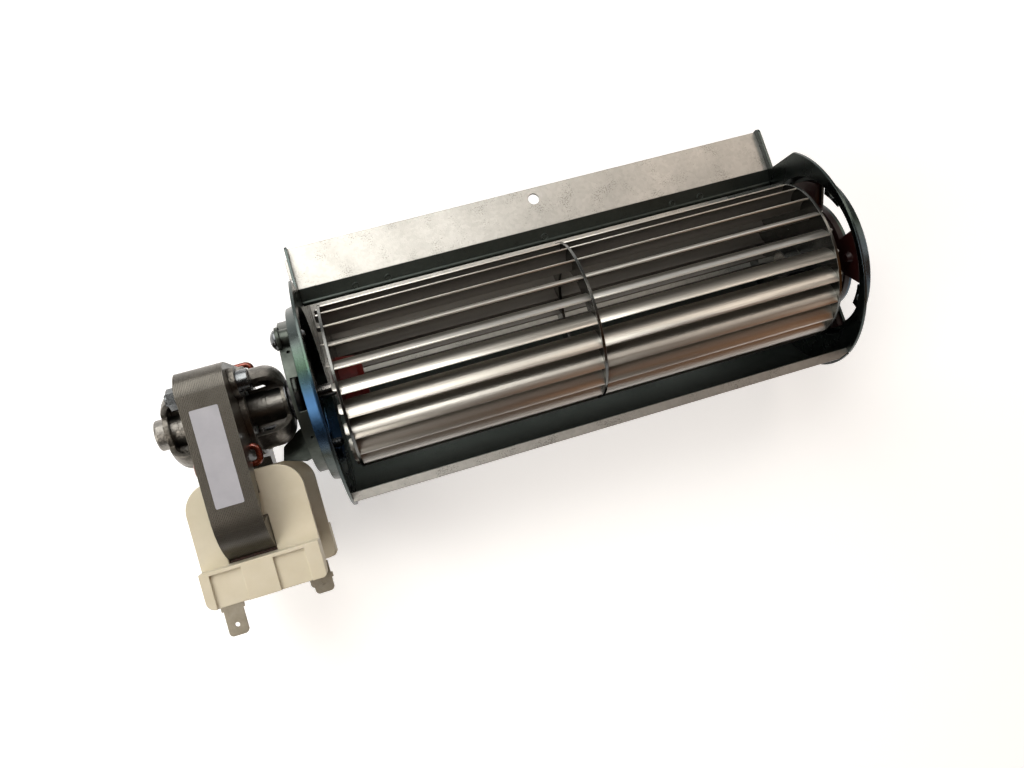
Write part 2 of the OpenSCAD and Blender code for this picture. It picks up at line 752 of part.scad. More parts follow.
// Soft spider that carries the far bush and damps its noise
module bearing_spider() {
    inner = floor_right - spider_t;
    color("maroon") at_shaft() difference() {
        union() {
            along_x(inner, floor_right) difference() {
                union() {
                    circle(window_in_r);
                    around_flat(4, arm_at)
                        ring_part(window_in_r - 1, spider_r, -spider_half, spider_half);
                }
                around_flat(3, spider_slot_at) for (k = [0:2]) rotate(k * spider_slot_step)
                    ring_part(spider_disc_r, spider_hole_r, -spider_slot_half, spider_slot_half);
            }
            rod(spider_hub_d / 2, inner - spider_hub_out, floor_right + spider_hub_out);
            around(4, arm_at) translate([0, knob_circle, 0]) {
                rod(knob_d / 2, inner, floor_right + sheet_t);
                translate([floor_right + sheet_t, 0, 0]) rotate([0, 90, 0])
                    cylinder(r1 = knob_d / 2 + knob_barb, r2 = knob_d / 2 - knob_barb, h = knob_tip);
                translate([inner, 0, 0]) rotate([0, -90, 0])
                    cylinder(r1 = knob_d / 2, r2 = knob_d / 2 - knob_barb, h = knob_tip);
            }
        }
        rod(bush_r, inner - 10, floor_right + 10);
    }
}

module end_bush() {
    far = end_bush_start + end_bush_len;
    color("goldenrod") at_shaft() tube(bush_r, shaft_r + run_play, end_bush_start, far);
}

// A flat shelf, bent from the bracket's floor, reaches under the motor
module shelf() {
    tip = bracket_face - shelf_len;
    translate([0, 0, -shelf_drop - bracket_t]) linear_extrude(bracket_t) polygon([
        [bracket_face, -shelf_near], [bracket_face - shelf_root, -shelf_near - bracket_t],
        [tip, -shelf_near - shelf_swing], [tip - bracket_t, bracket_t - shelf_far],
        [bracket_face - shelf_root, -shelf_far - bracket_t], [bracket_face, -shelf_far]
    ]);
}

// Pressed pan: its arms carry the motor's nose, and its notched wall stands on the end plate
module motor_bracket() {
    pan_end = bracket_face + bracket_gap;
    color("darkgray") at_shaft() difference() {
        union() {
            along_x(bracket_back, bracket_face) {
                difference() {
                    circle(bracket_r);
                    circle(bracket_in_r);
                }
                intersection() {
                    circle(bracket_in_r + 1);
                    around_flat(4, arm_at) translate([0, -arm_w / 2]) square([bracket_r, arm_w]);
                }
                circle(centre_r);
                around_flat(2, lug_at) translate([screw_circle, 0]) circle(screw_head_d / 2 + ear_rim);
            }
            difference() {
                tube(bracket_r, bracket_r - bracket_t, bracket_back, pan_end);
                along_x(bracket_face, pan_end + 1) for (a = [notch_at, notch_at + 180])
                    ring_part(bracket_in_r, bracket_r + 1, a - notch_half, a + notch_half);
            }
            around(2, lug_at) translate([0, screw_circle, 0])
                rod(screw_r + boss_wall, bracket_back, pan_end);
            shelf();
        }
        rod(grommet_r, bracket_back - 1, bracket_face + 1);
        around(2, lug_at) translate([0, screw_circle, 0]) rod(screw_r, bracket_back - 1, floor_left);
        for (a = pin_holes_at) rotate([a, 0, 0]) translate([(bracket_face + pan_end) / 2, bracket_in_r, 0])
            rotate([-90, 0, 0]) cylinder(r = pin_hole_r, h = bracket_r);
    }
}

module bracket_screws() {
    tip = floor_left + screw_tip - bracket_back;
    color("silver") at_shaft() around(2, lug_at) translate([bracket_back, screw_circle, 0]) {
        rod(screw_r, 0, tip - screw_point);
        translate([tip - screw_point, 0, 0]) rotate([0, 90, 0])
            cylinder(r1 = screw_r, r2 = screw_r / 2, h = screw_point);
        difference() {
            intersection() {
                rod(screw_head_d / 2, -screw_head_h, 0);
                translate([screw_head_h, 0, 0]) sphere(r = 2 * screw_head_h);
            }
            for (t = [0, 90]) rotate([t, 0, 0])
                translate([-screw_head_h - cross_w, -screw_r, -cross_w / 2])
                    cube([2 * cross_w, 2 * screw_r, cross_w]);
        }
    }
}

// The grommet's groove holds the bracket's plate
module nose_grommet() {
    lip_r = grommet_r + grommet_lip;
    color("black") at_shaft() turned() polygon([
        [barrel_d / 2, bracket_back - grommet_out], [grommet_r, bracket_back - grommet_out],
        [grommet_r, bracket_face], [lip_r, bracket_face], [lip_r, bracket_face + grommet_lip],
        [barrel_d / 2, bracket_face + grommet_lip]
    ]);
}

// The two screws stand on a diagonal, and the shading rings on the other one
module stack_screw_pair() { for (s = [-1, 1]) translate(s * [stack_screw_y, stack_screw_z]) children(); }
module shading_pair(step) { for (s = [-1, 1]) translate(s * [-shading_y - step, shading_z]) children(); }

// Side view of a bell from the stack's face: straight, then rounded into its end
module bell_shape(r, len, bend) {
    difference() {
        square([r, len]);
        corner_cut(r, len, bend, -1, -1);
    }
}

// Die-cast bearing bracket: a foot, a bell open above and below, and the barrel in it
module bearing_bracket(len, barrel_end) {
    barrel_r = barrel_d / 2;
    difference() {
        union() {
            turned() difference() {
                bell_shape(bell_r, len, bell_bend);
                translate([0, -1]) bell_shape(bell_r - bell_t, len - bell_t + 1, bell_bend - bell_t);
            }
            along_x(0, foot_t) difference() {
                circle(bell_r + foot_rim);
                circle(bell_r - bell_t);
            }
        }
        along_x(foot_t, len + 1) for (a = [90, 270])
            ring_part(barrel_r + bell_web, bell_r + 1, a - bell_open_half, a + bell_open_half);
        rod(bush_r, -1, len + 1);
        along_x(-1, foot_t + 1) stack_screw_pair() circle(stack_screw_d / 2);
    }
    along_x(0, foot_t) difference() {
        stack_screw_pair() circle(stack_head_d / 2 + foot_rim);
        stack_screw_pair() circle(stack_screw_d / 2);
        circle(bell_r - bell_t);
    }
    turned() difference() {
        union() {
            bell_shape(barrel_r, barrel_end, barrel_bend);
            square([barrel_r + barrel_step, barrel_root]);
        }
        translate([0, -1]) square([bush_r, barrel_end + 2]);
        square([bell_r, barrel_gap]);
    }
}

module front_bearing_bracket() {
    color("gainsboro") at_motor() translate([stack_front, 0, 0])
        bearing_bracket(bell_len, nose_end - stack_front);
}

module rear_bearing_bracket() {
    color("gainsboro") at_motor() translate([stack_back, 0, 0]) mirror([1, 0, 0])
        bearing_bracket(rear_bell_len, stack_back - tail_end);
}

module front_bush() {
    color("goldenrod") at_motor() tube(bush_r, shaft_r + run_play, nose_end - bush_len, nose_end);
}

module rear_bush() {
    color("goldenrod") at_motor() tube(bush_r, shaft_r + run_play, tail_end, tail_end + bush_len);
}

module lamination_outline() {
    half = stack_w / 2;
    difference() {
        translate([-stack_bottom, -half]) square([stack_bottom + stack_top, stack_w]);
        for (s = [-1, 1]) {
            corner_cut(-stack_bottom, s * half, stack_low_r, 1, -s);
            corner_cut(stack_top, s * half, stack_top_r, -1, -s);
        }
    }
}

module lamination_stack() {
    color("dimgray") at_motor() difference() {
        along_x(stack_back, stack_front) stack_section();
        press_locks();
    }
}

module stack_section() {
    difference() {
        lamination_outline();
        circle(bore_r);
        translate([leg_low - 1, -limb_in]) square([stack_bottom - pole_depth + 1, 2 * limb_in]);
        stack_screw_pair() circle(stack_screw_d / 2);
        shading_pair(0) circle(ring_wire / 2);
        shading_pair(shading_span) circle(ring_wire / 2);
    }
}

// Places of the pressed locks, on both faces of the stack
module press_locks() {
    heights = [press_lock_high, -press_lock_low];
    for (x = [stack_back - 1, stack_front - press_lock_d], y = heights, s = [-1, 1])
        along_x(x, x + press_lock_d + 1) translate([y, s * press_lock_z])
            square([press_lock_len, press_lock_w], center = true);
}

module coil_leg() {
    color("gray") at_motor() along_x(stack_back, stack_front) intersection() {
        lamination_outline();
        translate([leg_low, -limb_in]) square([leg_h, 2 * limb_in]);
    }
}

// Closed loop of bent wire in the X-Y plane, measured to the wire's middle
module wire_loop(w, h, bend, r) {
    for (sx = [-1, 1], sy = [-1, 1]) mirror([sx < 0 ? 1 : 0, 0, 0]) mirror([0, sy < 0 ? 1 : 0, 0])
        translate([w / 2 - bend, h / 2 - bend, 0]) rotate_extrude(angle = 90, $fn = 48)
            translate([bend, 0]) circle(r, $fn = 24);
    for (s = [-1, 1]) {
        translate([bend - w / 2, s * h / 2, 0]) rotate([0, 90, 0]) cylinder(r = r, h = w - 2 * bend);
        translate([s * w / 2, h / 2 - bend, 0]) rotate([90, 0, 0]) cylinder(r = r, h = h - 2 * bend);
    }
}

// Each ring is a closed loop of thick wire round the edge of a pole
module shading_rings() {
    color("peru") at_motor() for (s = [-1, 1])
        translate([stack_mid, -s * (shading_y + shading_span / 2), s * shading_z])
            wire_loop(stack_t + 2 * ring_out - ring_wire, shading_span, ring_bend, ring_wire / 2);
}

module stack_screws() {
    slot_w = 1;
    head = stack_front + foot_t;
    tip = stack_back - foot_t - nut_h - stack_screw_proud;
    color("silver") at_motor() {
        along_x(tip, head) stack_screw_pair() circle(stack_screw_d / 2);
        along_x(head, head + stack_head_h - slot_w) stack_screw_pair() circle(stack_head_d / 2);
        along_x(head + stack_head_h - slot_w, head + stack_head_h) stack_screw_pair() difference() {
            circle(stack_head_d / 2);
            square([stack_head_d, slot_w], center = true);
        }
    }
}

module stack_nuts() {
    color("silver") at_motor() along_x(stack_back - foot_t - nut_h, stack_back - foot_t)
        stack_screw_pair() difference() {
            circle(stack_head_d / 2, $fn = 6);
            circle(stack_screw_d / 2);
        }
}

module former_face() {
    low = -former_bottom;
    left = former_x - former_w / 2;
    difference() {
        translate([left, low]) square([former_w, former_bottom - former_top]);
        corner_cut(left, -former_top, former_r, 1, -1);
        corner_cut(left + former_w, -former_top, former_r, -1, -1);
        corner_cut(left, low, former_low_r, 1, 1);
        corner_cut(left + former_w, low, former_low_r, -1, 1);
    }
}

module leg_hole(grow) {
    translate([stack_back - grow, leg_low - grow]) square([stack_t + 2 * grow, leg_h + 2 * grow]);
}

// Terminal block with two recessed panels that are open below
module terminal_block() {
    left = former_x - former_w / 2;
    difference() {
        linear_extrude(block_d) difference() {
            translate([left, -former_bottom]) square([former_w, block_h]);
            corner_cut(left, -former_bottom, block_r, 1, 1);
            corner_cut(left + former_w, -former_bottom, block_r / 2, -1, 1);
        }
        for (i = [0, 2]) translate([left + panel_edge + i * panel_w, -former_bottom - 1, block_d - panel_d])
            cube([panel_w, block_h - panel_rim + 1, panel_d + 1]);
    }
}

module spade_slot(x, z) {
    translate([x - spade_w / 2, -former_bottom - 1, z]) cube([spade_w, spade_in + 1, spade_t]);
}

module coil_former() {
    color("wheat") at_motor() difference() {
        union() {
            for (s = [-1, 1]) translate([0, 0, s * (former_z - former_flange / 2) - former_flange / 2])
                linear_extrude(former_flange) former_face();
            translate([0, 0, -former_z]) linear_extrude(former_len) leg_hole(leg_play + tube_t);
            translate([0, 0, former_z]) terminal_block();
            translate([0, 0, -former_z - block_d]) terminal_block();
        }
        translate([0, 0, -stack_w / 2]) linear_extrude(stack_w) leg_hole(leg_play);
        spade_slot(line_spade_x, block_spade_z);
        spade_slot(earth_spade_x, -block_spade_z - spade_t);
    }
}

module coil_winding() {
    grow = leg_play + tube_t + coil_t;
    from = former_flange - former_z;
    length = former_len - 2 * former_flange;
    color("sienna") at_motor() translate([0, 0, from]) linear_extrude(length) difference() {
        leg_hole(grow);
        corner_cut(stack_back - grow, leg_low - grow, coil_t, 1, 1);
        corner_cut(stack_front + grow, leg_low - grow, coil_t, -1, 1);
        corner_cut(stack_back - grow, leg_high + grow, coil_t, 1, -1);
        corner_cut(stack_front + grow, leg_high + grow, coil_t, -1, -1);
        leg_hole(leg_play + tube_t);
    }
}

module spade(x, z, bottom, top) {
    shoulder_at = -former_bottom - shoulder_len;
    translate([x - spade_w / 2, bottom, z]) linear_extrude(spade_t) difference() {
        union() {
            square([spade_w, top - bottom]);
            translate([-shoulder_out, shoulder_at - bottom])
                square([spade_w + 2 * shoulder_out, shoulder_len]);
        }
        corner_cut(0, 0, spade_r, 1, 1);
        corner_cut(spade_w, 0, spade_r, -1, 1);
        translate([spade_w / 2, spade_hole_up]) circle(spade_hole_d / 2);
    }
}

module spade_terminals() {
    low = -former_bottom - spade_out;
    color("silver") at_motor() {
        spade(line_spade_x, block_spade_z, low, spade_root);
        spade(earth_spade_x, -block_spade_z - spade_t, low, spade_root);
        spade(inner_spade_x, former_z - former_flange - spade_t, low + inner_spade_back, winding_low);
    }
}

scroll_sheet();
tongue_sheet();
motor_end_plate();
bearing_end_plate();
bearing_spider();
end_bush();
motor_bracket();
bracket_screws();
nose_grommet();
front_bearing_bracket();
rear_bearing_bracket();
front_bush();
rear_bush();
lamination_stack();
coil_leg();
shading_rings();
stack_screws();
stack_nuts();
coil_former();
coil_winding();
spade_terminals();
motor_shaft();
rotor_core();
rotor_cage();
thrust_spacers();
drive_hub();
drive_sleeve();
drive_disc();
middle_ring();
end_disc();
blades();
stub_shaft();
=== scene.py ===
import math
import random

import bmesh
import bpy
from mathutils import Matrix, Vector


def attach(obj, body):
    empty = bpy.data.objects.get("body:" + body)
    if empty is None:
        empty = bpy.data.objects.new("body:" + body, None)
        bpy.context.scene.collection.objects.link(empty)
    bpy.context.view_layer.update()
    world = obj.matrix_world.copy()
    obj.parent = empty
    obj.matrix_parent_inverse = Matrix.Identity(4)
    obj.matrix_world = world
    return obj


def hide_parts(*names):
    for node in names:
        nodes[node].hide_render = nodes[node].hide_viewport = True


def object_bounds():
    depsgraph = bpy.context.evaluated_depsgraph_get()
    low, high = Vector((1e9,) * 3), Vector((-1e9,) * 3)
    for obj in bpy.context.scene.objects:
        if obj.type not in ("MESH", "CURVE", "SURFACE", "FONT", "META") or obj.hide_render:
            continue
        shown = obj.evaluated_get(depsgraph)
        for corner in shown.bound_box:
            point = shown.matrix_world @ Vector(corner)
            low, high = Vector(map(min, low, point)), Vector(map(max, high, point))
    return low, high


# Tangential cooling fan for a built-in appliance. X runs along the shaft, the motor is on the left,
# Y points to the outlet and Z up. Lengths in the settings are in millimetres.
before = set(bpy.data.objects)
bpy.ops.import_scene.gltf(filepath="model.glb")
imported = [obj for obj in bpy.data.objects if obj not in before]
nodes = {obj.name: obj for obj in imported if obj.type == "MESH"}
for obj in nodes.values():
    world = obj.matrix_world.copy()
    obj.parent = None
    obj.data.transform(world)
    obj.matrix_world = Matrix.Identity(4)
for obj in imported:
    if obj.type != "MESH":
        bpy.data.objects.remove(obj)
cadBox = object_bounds()
mm = 0.001
print("frame loaded:", len(nodes), "parts")

# Sockets of a Mix node that mixes colours, and the corners of a square in order
mixShare, mixFirst, mixSecond, mixed = 0, 6, 7, 2
fourCorners = ((-1, -1), (1, -1), (1, 1), (-1, 1))


def linearColour(code):
    # sRGB hex to the linear values that Blender wants
    channels = [int(code[i:i + 2], 16) / 255 for i in (1, 3, 5)]
    return tuple(c / 12.92 if c <= 0.04045 else ((c + 0.055) / 1.055) ** 2.4 for c in channels) + (1.0,)


def addNode(tree, kind, values=None, links=None, **settings):
    # One node with its settings, the values of its sockets and what is linked into them
    node = tree.nodes.new(kind)
    for name, value in settings.items():
        setattr(node, name, value)
    for socket, value in (values or {}).items():
        node.inputs[socket].default_value = value
    for socket, source in (links or {}).items():
        tree.links.new(source, node.inputs[socket])
    return node


# The shaft's own frame starts at the drive disc, and the motor leans about the shaft
places = {"shaft": (-90, -53.1, 8.5), "motorTilt": 7, "scroll": (0, -51.6, -1)}
shaftFrame = Matrix.Scale(mm, 4) @ Matrix.Translation(Vector(places["shaft"]))
motorFrame = shaftFrame @ Matrix.Rotation(math.radians(places["motorTilt"]), 4, "X")
# Turns a flat shape drawn in X and Y so that it stands across the shaft
acrossShaft = Matrix(((0, 0, 1, 0), (1, 0, 0, 0), (0, 1, 0, 0), (0, 0, 0, 1)))

# The view of the photograph: place in millimetres, directions of sight and of the top of the picture
view = {
    "place": (-74.2, -108.7, 311.3), "forward": (0.141, 0.128, -0.982), "up": (0.27, 0.949, 0.162),
    "lens": 29.57, "sensor": 36,
}
forward = Vector(view["forward"]).normalized()
right = forward.cross(Vector(view["up"])).normalized()
cameraData = bpy.data.cameras.new("camera")
cameraData.lens, cameraData.sensor_width = view["lens"], view["sensor"]
cameraData.clip_start, cameraData.clip_end = 0.01, 50
cameraObject = bpy.data.objects.new("camera", cameraData)
bpy.context.scene.collection.objects.link(cameraObject)
turn = Matrix((right, right.cross(forward), -forward)).transposed().to_4x4()
cameraObject.matrix_world = Matrix.Translation(Vector(view["place"]) * mm) @ turn
bpy.context.scene.camera = cameraObject

lamps = {
    # place and aim in mm, width and height in mm, watts, colour
    "windowPanel": ((-200, 340, 520), (-60, -20, 0), 460, 700, 3.9, "#fdfbf6"),
    "keySoftbox": ((-560, -220, 470), (-60, -50, 0), 480, 400, 2.8, "#fff8ee"),
    "backPanel": ((360, 260, 560), (60, 0, 0), 300, 260, 0.6, "#fff0e2"),
    "sideSoftbox": ((680, -80, 300), (40, -50, 0), 360, 300, 0.5, "#fff0e0"),
}
for name, (place, aim, width, height, watts, colour) in lamps.items():
    lamp = bpy.data.lights.new(name, "AREA")
    lamp.shape, lamp.size, lamp.size_y = "RECTANGLE", width * mm, height * mm
    lamp.energy, lamp.color = watts, linearColour(colour)[:3]
    lampObject = bpy.data.objects.new(name, lamp)
    bpy.context.scene.collection.objects.link(lampObject)
    turn = (Vector(aim) - Vector(place)).to_track_quat("-Z", "Y").to_matrix().to_4x4()
    lampObject.matrix_world = Matrix.Translation(Vector(place) * mm) @ turn

# A studio with a white backdrop low down and darker walls above it, so that metal shows light and dark.
# Each range gives where a change begins and ends, as a part of the direction's full length.
studio = {
    "low": "#8f8f8d", "high": "#565452", "behindCamera": "#241b16", "woodBehind": "#80522c",
    "rise": ("Z", 0.02, 0.5), "front": ("Y", 0.15, -0.4), "toRight": ("X", 0.15, 0.42),
    "backdrop": ("Z", 0.16, 0.1),
}
world = bpy.data.worlds.new("studio")
bpy.context.scene.world = world
world.use_nodes = True
tree = world.node_tree
tree.nodes.clear()
direction = addNode(tree, "ShaderNodeSeparateXYZ",
                    links={0: addNode(tree, "ShaderNodeTexCoord").outputs["Generated"]})
change = {}
for name in ("rise", "front", "toRight", "backdrop"):
    axis, begins, ends = studio[name]
    change[name] = addNode(tree, "ShaderNodeMapRange", {"From Min": begins, "From Max": ends},
                           {"Value": direction.outputs[axis]}).outputs[0]
low, high, dark, wood = [linearColour(studio[name]) for name in ("low", "high", "behindCamera", "woodBehind")]
walls = addNode(tree, "ShaderNodeMix", {mixFirst: low, mixSecond: high}, {mixShare: change["rise"]},
                data_type="RGBA")
behind = addNode(tree, "ShaderNodeMix", {mixFirst: dark, mixSecond: wood}, {mixShare: change["toRight"]},
                 data_type="RGBA")
walls = addNode(tree, "ShaderNodeMix", data_type="RGBA", links={
    mixShare: change["front"], mixFirst: walls.outputs[mixed], mixSecond: behind.outputs[mixed]})
white = addNode(tree, "ShaderNodeMix", {mixSecond: (1, 1, 1, 1)},
                {mixShare: change["backdrop"], mixFirst: walls.outputs[mixed]}, data_type="RGBA")
glow = addNode(tree, "ShaderNodeBackground", {"Strength": 1.0}, {"Color": white.outputs[mixed]})
addNode(tree, "ShaderNodeOutputWorld", links={"Surface": glow.outputs[0]})

# The floor is matt paper just under the fan; its own light takes it to white where it is looked at
sheetOfPaper = {
    "below": 0.3, "half": 12000, "colour": "#efefef", "near": 0.45, "far": 1.0, "from": 450, "to": 1400,
}
floorMesh = bpy.data.meshes.new("floor")
floorZ, floorHalf = cadBox[0].z - sheetOfPaper["below"] * mm, sheetOfPaper["half"] * mm
floorMesh.from_pydata([(x * floorHalf, y * floorHalf, floorZ) for x, y in fourCorners], [], [(0, 1, 2, 3)])
floor = bpy.data.objects.new("floor", floorMesh)
bpy.context.scene.collection.objects.link(floor)
paper = bpy.data.materials.new("matt white paper")
paper.use_nodes = True
tree = paper.node_tree
tree.nodes.clear()
rays = addNode(tree, "ShaderNodeLightPath").outputs
seen = addNode(tree, "ShaderNodeMath", links={0: rays["Is Camera Ray"], 1: rays["Is Glossy Ray"]},
               operation="MAXIMUM")
seen = addNode(tree, "ShaderNodeMath", links={0: seen.outputs[0], 1: rays["Is Transmission Ray"]},
               operation="MAXIMUM")
away = addNode(tree, "ShaderNodeVectorMath", links={0: addNode(tree, "ShaderNodeTexCoord").outputs["Object"]},
               operation="LENGTH")
wanted = addNode(tree, "ShaderNodeMapRange", {
    "From Min": sheetOfPaper["from"] * mm, "From Max": sheetOfPaper["to"] * mm,
    "To Min": sheetOfPaper["near"], "To Max": sheetOfPaper["far"]}, {"Value": away.outputs["Value"]})
lift = addNode(tree, "ShaderNodeMath", links={0: seen.outputs[0], 1: wanted.outputs[0]}, operation="MULTIPLY")
matt = addNode(tree, "ShaderNodeBsdfDiffuse", {"Color": linearColour(sheetOfPaper["colour"])})
glow = addNode(tree, "ShaderNodeEmission", {"Color": (1, 1, 1, 1)}, {"Strength": lift.outputs[0]})
both = addNode(tree, "ShaderNodeAddShader", links={0: matt.outputs[0], 1: glow.outputs[0]})
addNode(tree, "ShaderNodeOutputMaterial", links={"Surface": both.outputs[0]})
floorMesh.materials.append(paper)
bpy.context.scene.view_settings.view_transform = "Standard"
print("camera, lamps and floor placed")


def startMaterial(name, shader):
    # A principled shader with its constant values on its own sockets
    material = bpy.data.materials.new(name)
    material.use_nodes = True
    tree = material.node_tree
    tree.nodes.clear()
    principled = addNode(tree, "ShaderNodeBsdfPrincipled", shader)
    addNode(tree, "ShaderNodeOutputMaterial", links={"Surface": principled.outputs[0]})
    place = addNode(tree, "ShaderNodeTexCoord").outputs["Object"]
    return material, tree, principled, place


def surface(tree, principled, place, look):
    # Soft blotches of two colours, a roughness that follows them, fine grain in the bump, softened edges.
    # Sizes are in real millimetres, and a grain finer than that is drawn as coarse as it needs to show.
    stretched = addNode(tree, "ShaderNodeMapping", {"Scale": look.get("stretch", (1, 1, 1))},
                        {"Vector": place})
    clouds = addNode(tree, "ShaderNodeTexNoise",
                     {"Scale": 1 / look["blotch"] / mm, "Detail": 4, "Roughness": 0.6},
                     {"Vector": stretched.outputs[0]})
    # noise seldom leaves this range
    share = addNode(tree, "ShaderNodeMapRange", {"From Min": 0.3, "From Max": 0.7},
                    {"Value": clouds.outputs["Fac"]})
    bright, dull = [linearColour(code) for code in look["colours"]]
    colour = addNode(tree, "ShaderNodeMix", {mixFirst: bright, mixSecond: dull}, {mixShare: share.outputs[0]},
                     data_type="RGBA")
    smooth, rough = look["roughness"]
    roughness = addNode(tree, "ShaderNodeMapRange", {"To Min": smooth, "To Max": rough},
                        {"Value": share.outputs[0]})
    grain = addNode(tree, "ShaderNodeTexNoise", {"Scale": 1 / look["grain"] / mm, "Detail": 2},
                    {"Vector": stretched.outputs[0]})
    edge = addNode(tree, "ShaderNodeBevel", {"Radius": look["edge"] * mm}, samples=4)
    bump = addNode(tree, "ShaderNodeBump", {"Strength": look["bump"], "Distance": look["grain"] * mm},
                   {"Height": grain.outputs["Fac"], "Normal": edge.outputs[0]})
    tree.links.new(colour.outputs[mixed], principled.inputs["Base Color"])
    tree.links.new(roughness.outputs[0], principled.inputs["Roughness"])
    tree.links.new(bump.outputs[0], principled.inputs["Normal"])
    return colour.outputs[mixed], roughness.outputs[0]


def plainFinish(name, shader, look):
    material, tree, principled, place = startMaterial(name, shader)
    surface(tree, principled, place, look)
    return material


def acrossFrom(tree, place, centre):
    # The way from a line along X to each point, in Y and Z only
    fromCentre = addNode(tree, "ShaderNodeVectorMath", {1: Vector(centre) * mm}, {0: place},
                         operation="SUBTRACT")
    return addNode(tree, "ShaderNodeVectorMath", {1: (0, 1, 1)}, {0: fromCentre.outputs[0]},
                   operation="MULTIPLY").outputs[0]


def zincSheet(name, look):
    # Hot-dip galvanised sheet: small zinc crystals of slightly different brightness, and sparse dull flecks
    # where the zinc has begun to weather, gathered in patches
    material, tree, principled, place = startMaterial(name, {"Metallic": 1.0})
    colour = surface(tree, principled, place, look)[0]
    crystals = addNode(tree, "ShaderNodeTexVoronoi", {"Scale": 1 / look["crystal"] / mm}, {"Vector": place})
    tone = addNode(tree, "ShaderNodeSeparateXYZ", links={0: crystals.outputs["Color"]})
    shade = addNode(tree, "ShaderNodeMapRange", {"To Min": look["spangle"][0], "To Max": look["spangle"][1]},
                    {"Value": tone.outputs[0]})
    spangled = addNode(tree, "ShaderNodeVectorMath", links={0: colour, "Scale": shade.outputs[0]},
                       operation="SCALE")
    specks = addNode(tree, "ShaderNodeTexNoise", {"Scale": 1 / look["fleck"] / mm, "Detail": 1},
                     {"Vector": place})
    patches = addNode(tree, "ShaderNodeTexNoise", {"Scale": 1 / look["patch"] / mm, "Detail": 3},
                      {"Vector": place})
    gathered = addNode(tree, "ShaderNodeMath", links={0: specks.outputs["Fac"], 1: patches.outputs["Fac"]},
                       operation="MULTIPLY")
    fleck = addNode(tree, "ShaderNodeMapRange", {
        "From Min": look["fleckFrom"][0], "From Max": look["fleckFrom"][1], "To Max": look["fleckShare"]},
        {"Value": gathered.outputs[0]})
    worn = addNode(tree, "ShaderNodeMix", {mixSecond: linearColour(look["fleckColour"])},
                   {mixShare: fleck.outputs[0], mixFirst: spangled.outputs[0]}, data_type="RGBA")
    # painted shade: inside the scroll the sheet is painted dark, as it lies in shadow there
    away = addNode(tree, "ShaderNodeVectorMath", links={0: acrossFrom(tree, place, places["scroll"])},
                   operation="LENGTH")
    scrollShade = addNode(tree, "ShaderNodeMapRange", {
        "From Min": look["scrollShadeTo"] * mm, "From Max": (look["scrollShadeTo"] - look["scrollShadeFade"]) * mm,
        "To Max": look["scrollShadeShare"]}, {"Value": away.outputs["Value"]})
    darkenedTone = addNode(tree, "ShaderNodeMix", {mixSecond: linearColour(look["scrollShade"])},
                    {mixShare: scrollShade.outputs[0], mixFirst: worn.outputs[mixed]}, data_type="RGBA")
    tree.links.new(darkenedTone.outputs[mixed], principled.inputs["Base Color"])
    return material, tree, principled, place, darkenedTone.outputs[mixed]


# Pale grey with a soft sheen and faint mottling; the painted shade reaches as far as the sheet's inner face
sheetLook = {
    "colours": ("#bfbdb8", "#b4b2ad"), "blotch": 22, "grain": 0.5, "roughness": (0.36, 0.46), "bump": 0.16,
    "edge": 0.4, "crystal": 1.2, "spangle": (0.93, 1.04), "fleck": 0.5, "patch": 9, "fleckFrom": (0.33, 0.4),
    "fleckShare": 0.6, "fleckColour": "#7b7871", "scrollShade": "#2f3835", "scrollShadeTo": 41.4, "scrollShadeFade": 0.2,
    "scrollShadeShare": 0.93,
}
sheetSteel = zincSheet("galvanised steel sheet", sheetLook)[0]
# the tongue has its own reach for the painted shade
tongueSteel = zincSheet("galvanised steel tongue", {**sheetLook, "scrollShadeTo": 39.75})[0]

# Zinc plated and passivated, with a painted reflection that turns from green to blue down the plate
plateLook = {
    "colours": ("#a0aaa8", "#8b9796"), "blotch": 16, "grain": 0.5, "roughness": (0.22, 0.34), "bump": 0.08,
    "edge": 0.5, "crystal": 2.5, "spangle": (0.93, 1.04), "fleck": 0.5, "patch": 7, "fleckFrom": (0.33, 0.4),
    "fleckShare": 0.4, "fleckColour": "#59605c", "scrollShade": "#2f3835", "scrollShadeTo": 0, "scrollShadeFade": 0.2,
    "scrollShadeShare": 0, "greenReflection": "#7fae8a", "blueReflection": "#4a9af0", "reflectionFrom": (-40, -50),
    "reflectionTo": (-70, -78), "turnsBlue": (-50, -60), "reflectionShare": 0.92, "rightShare": 0.3,
    "dish": "#2c3331", "dishFrom": (92.7, 93.5), "dishShare": 0.8,
    "inside": "#1d2323", "insideFrom": (-0.1, -0.5), "insideShare": 0.85,
}
plateSteel, tree, principled, place, worn = zincSheet("passivated zinc plate with painted reflection", plateLook)
along = addNode(tree, "ShaderNodeSeparateXYZ", links={0: place})
steps = {}
for name, top in (("reflectionFrom", plateLook["reflectionShare"]), ("reflectionTo", 1), ("turnsBlue", 1)):
    begins, ends = plateLook[name]
    steps[name] = addNode(tree, "ShaderNodeMapRange",
                          {"From Min": begins * mm, "From Max": ends * mm, "To Max": top},
                          {"Value": along.outputs["Y"]}).outputs[0]
green, blue = linearColour(plateLook["greenReflection"]), linearColour(plateLook["blueReflection"])
paintedReflection = addNode(tree, "ShaderNodeMix", {mixFirst: green, mixSecond: blue}, {mixShare: steps["turnsBlue"]},
               data_type="RGBA")
notEnded = addNode(tree, "ShaderNodeMath", {0: 1.0}, {1: steps["reflectionTo"]}, operation="SUBTRACT")
share = addNode(tree, "ShaderNodeMath", links={0: steps["reflectionFrom"], 1: notEnded.outputs[0]},
                operation="MULTIPLY")
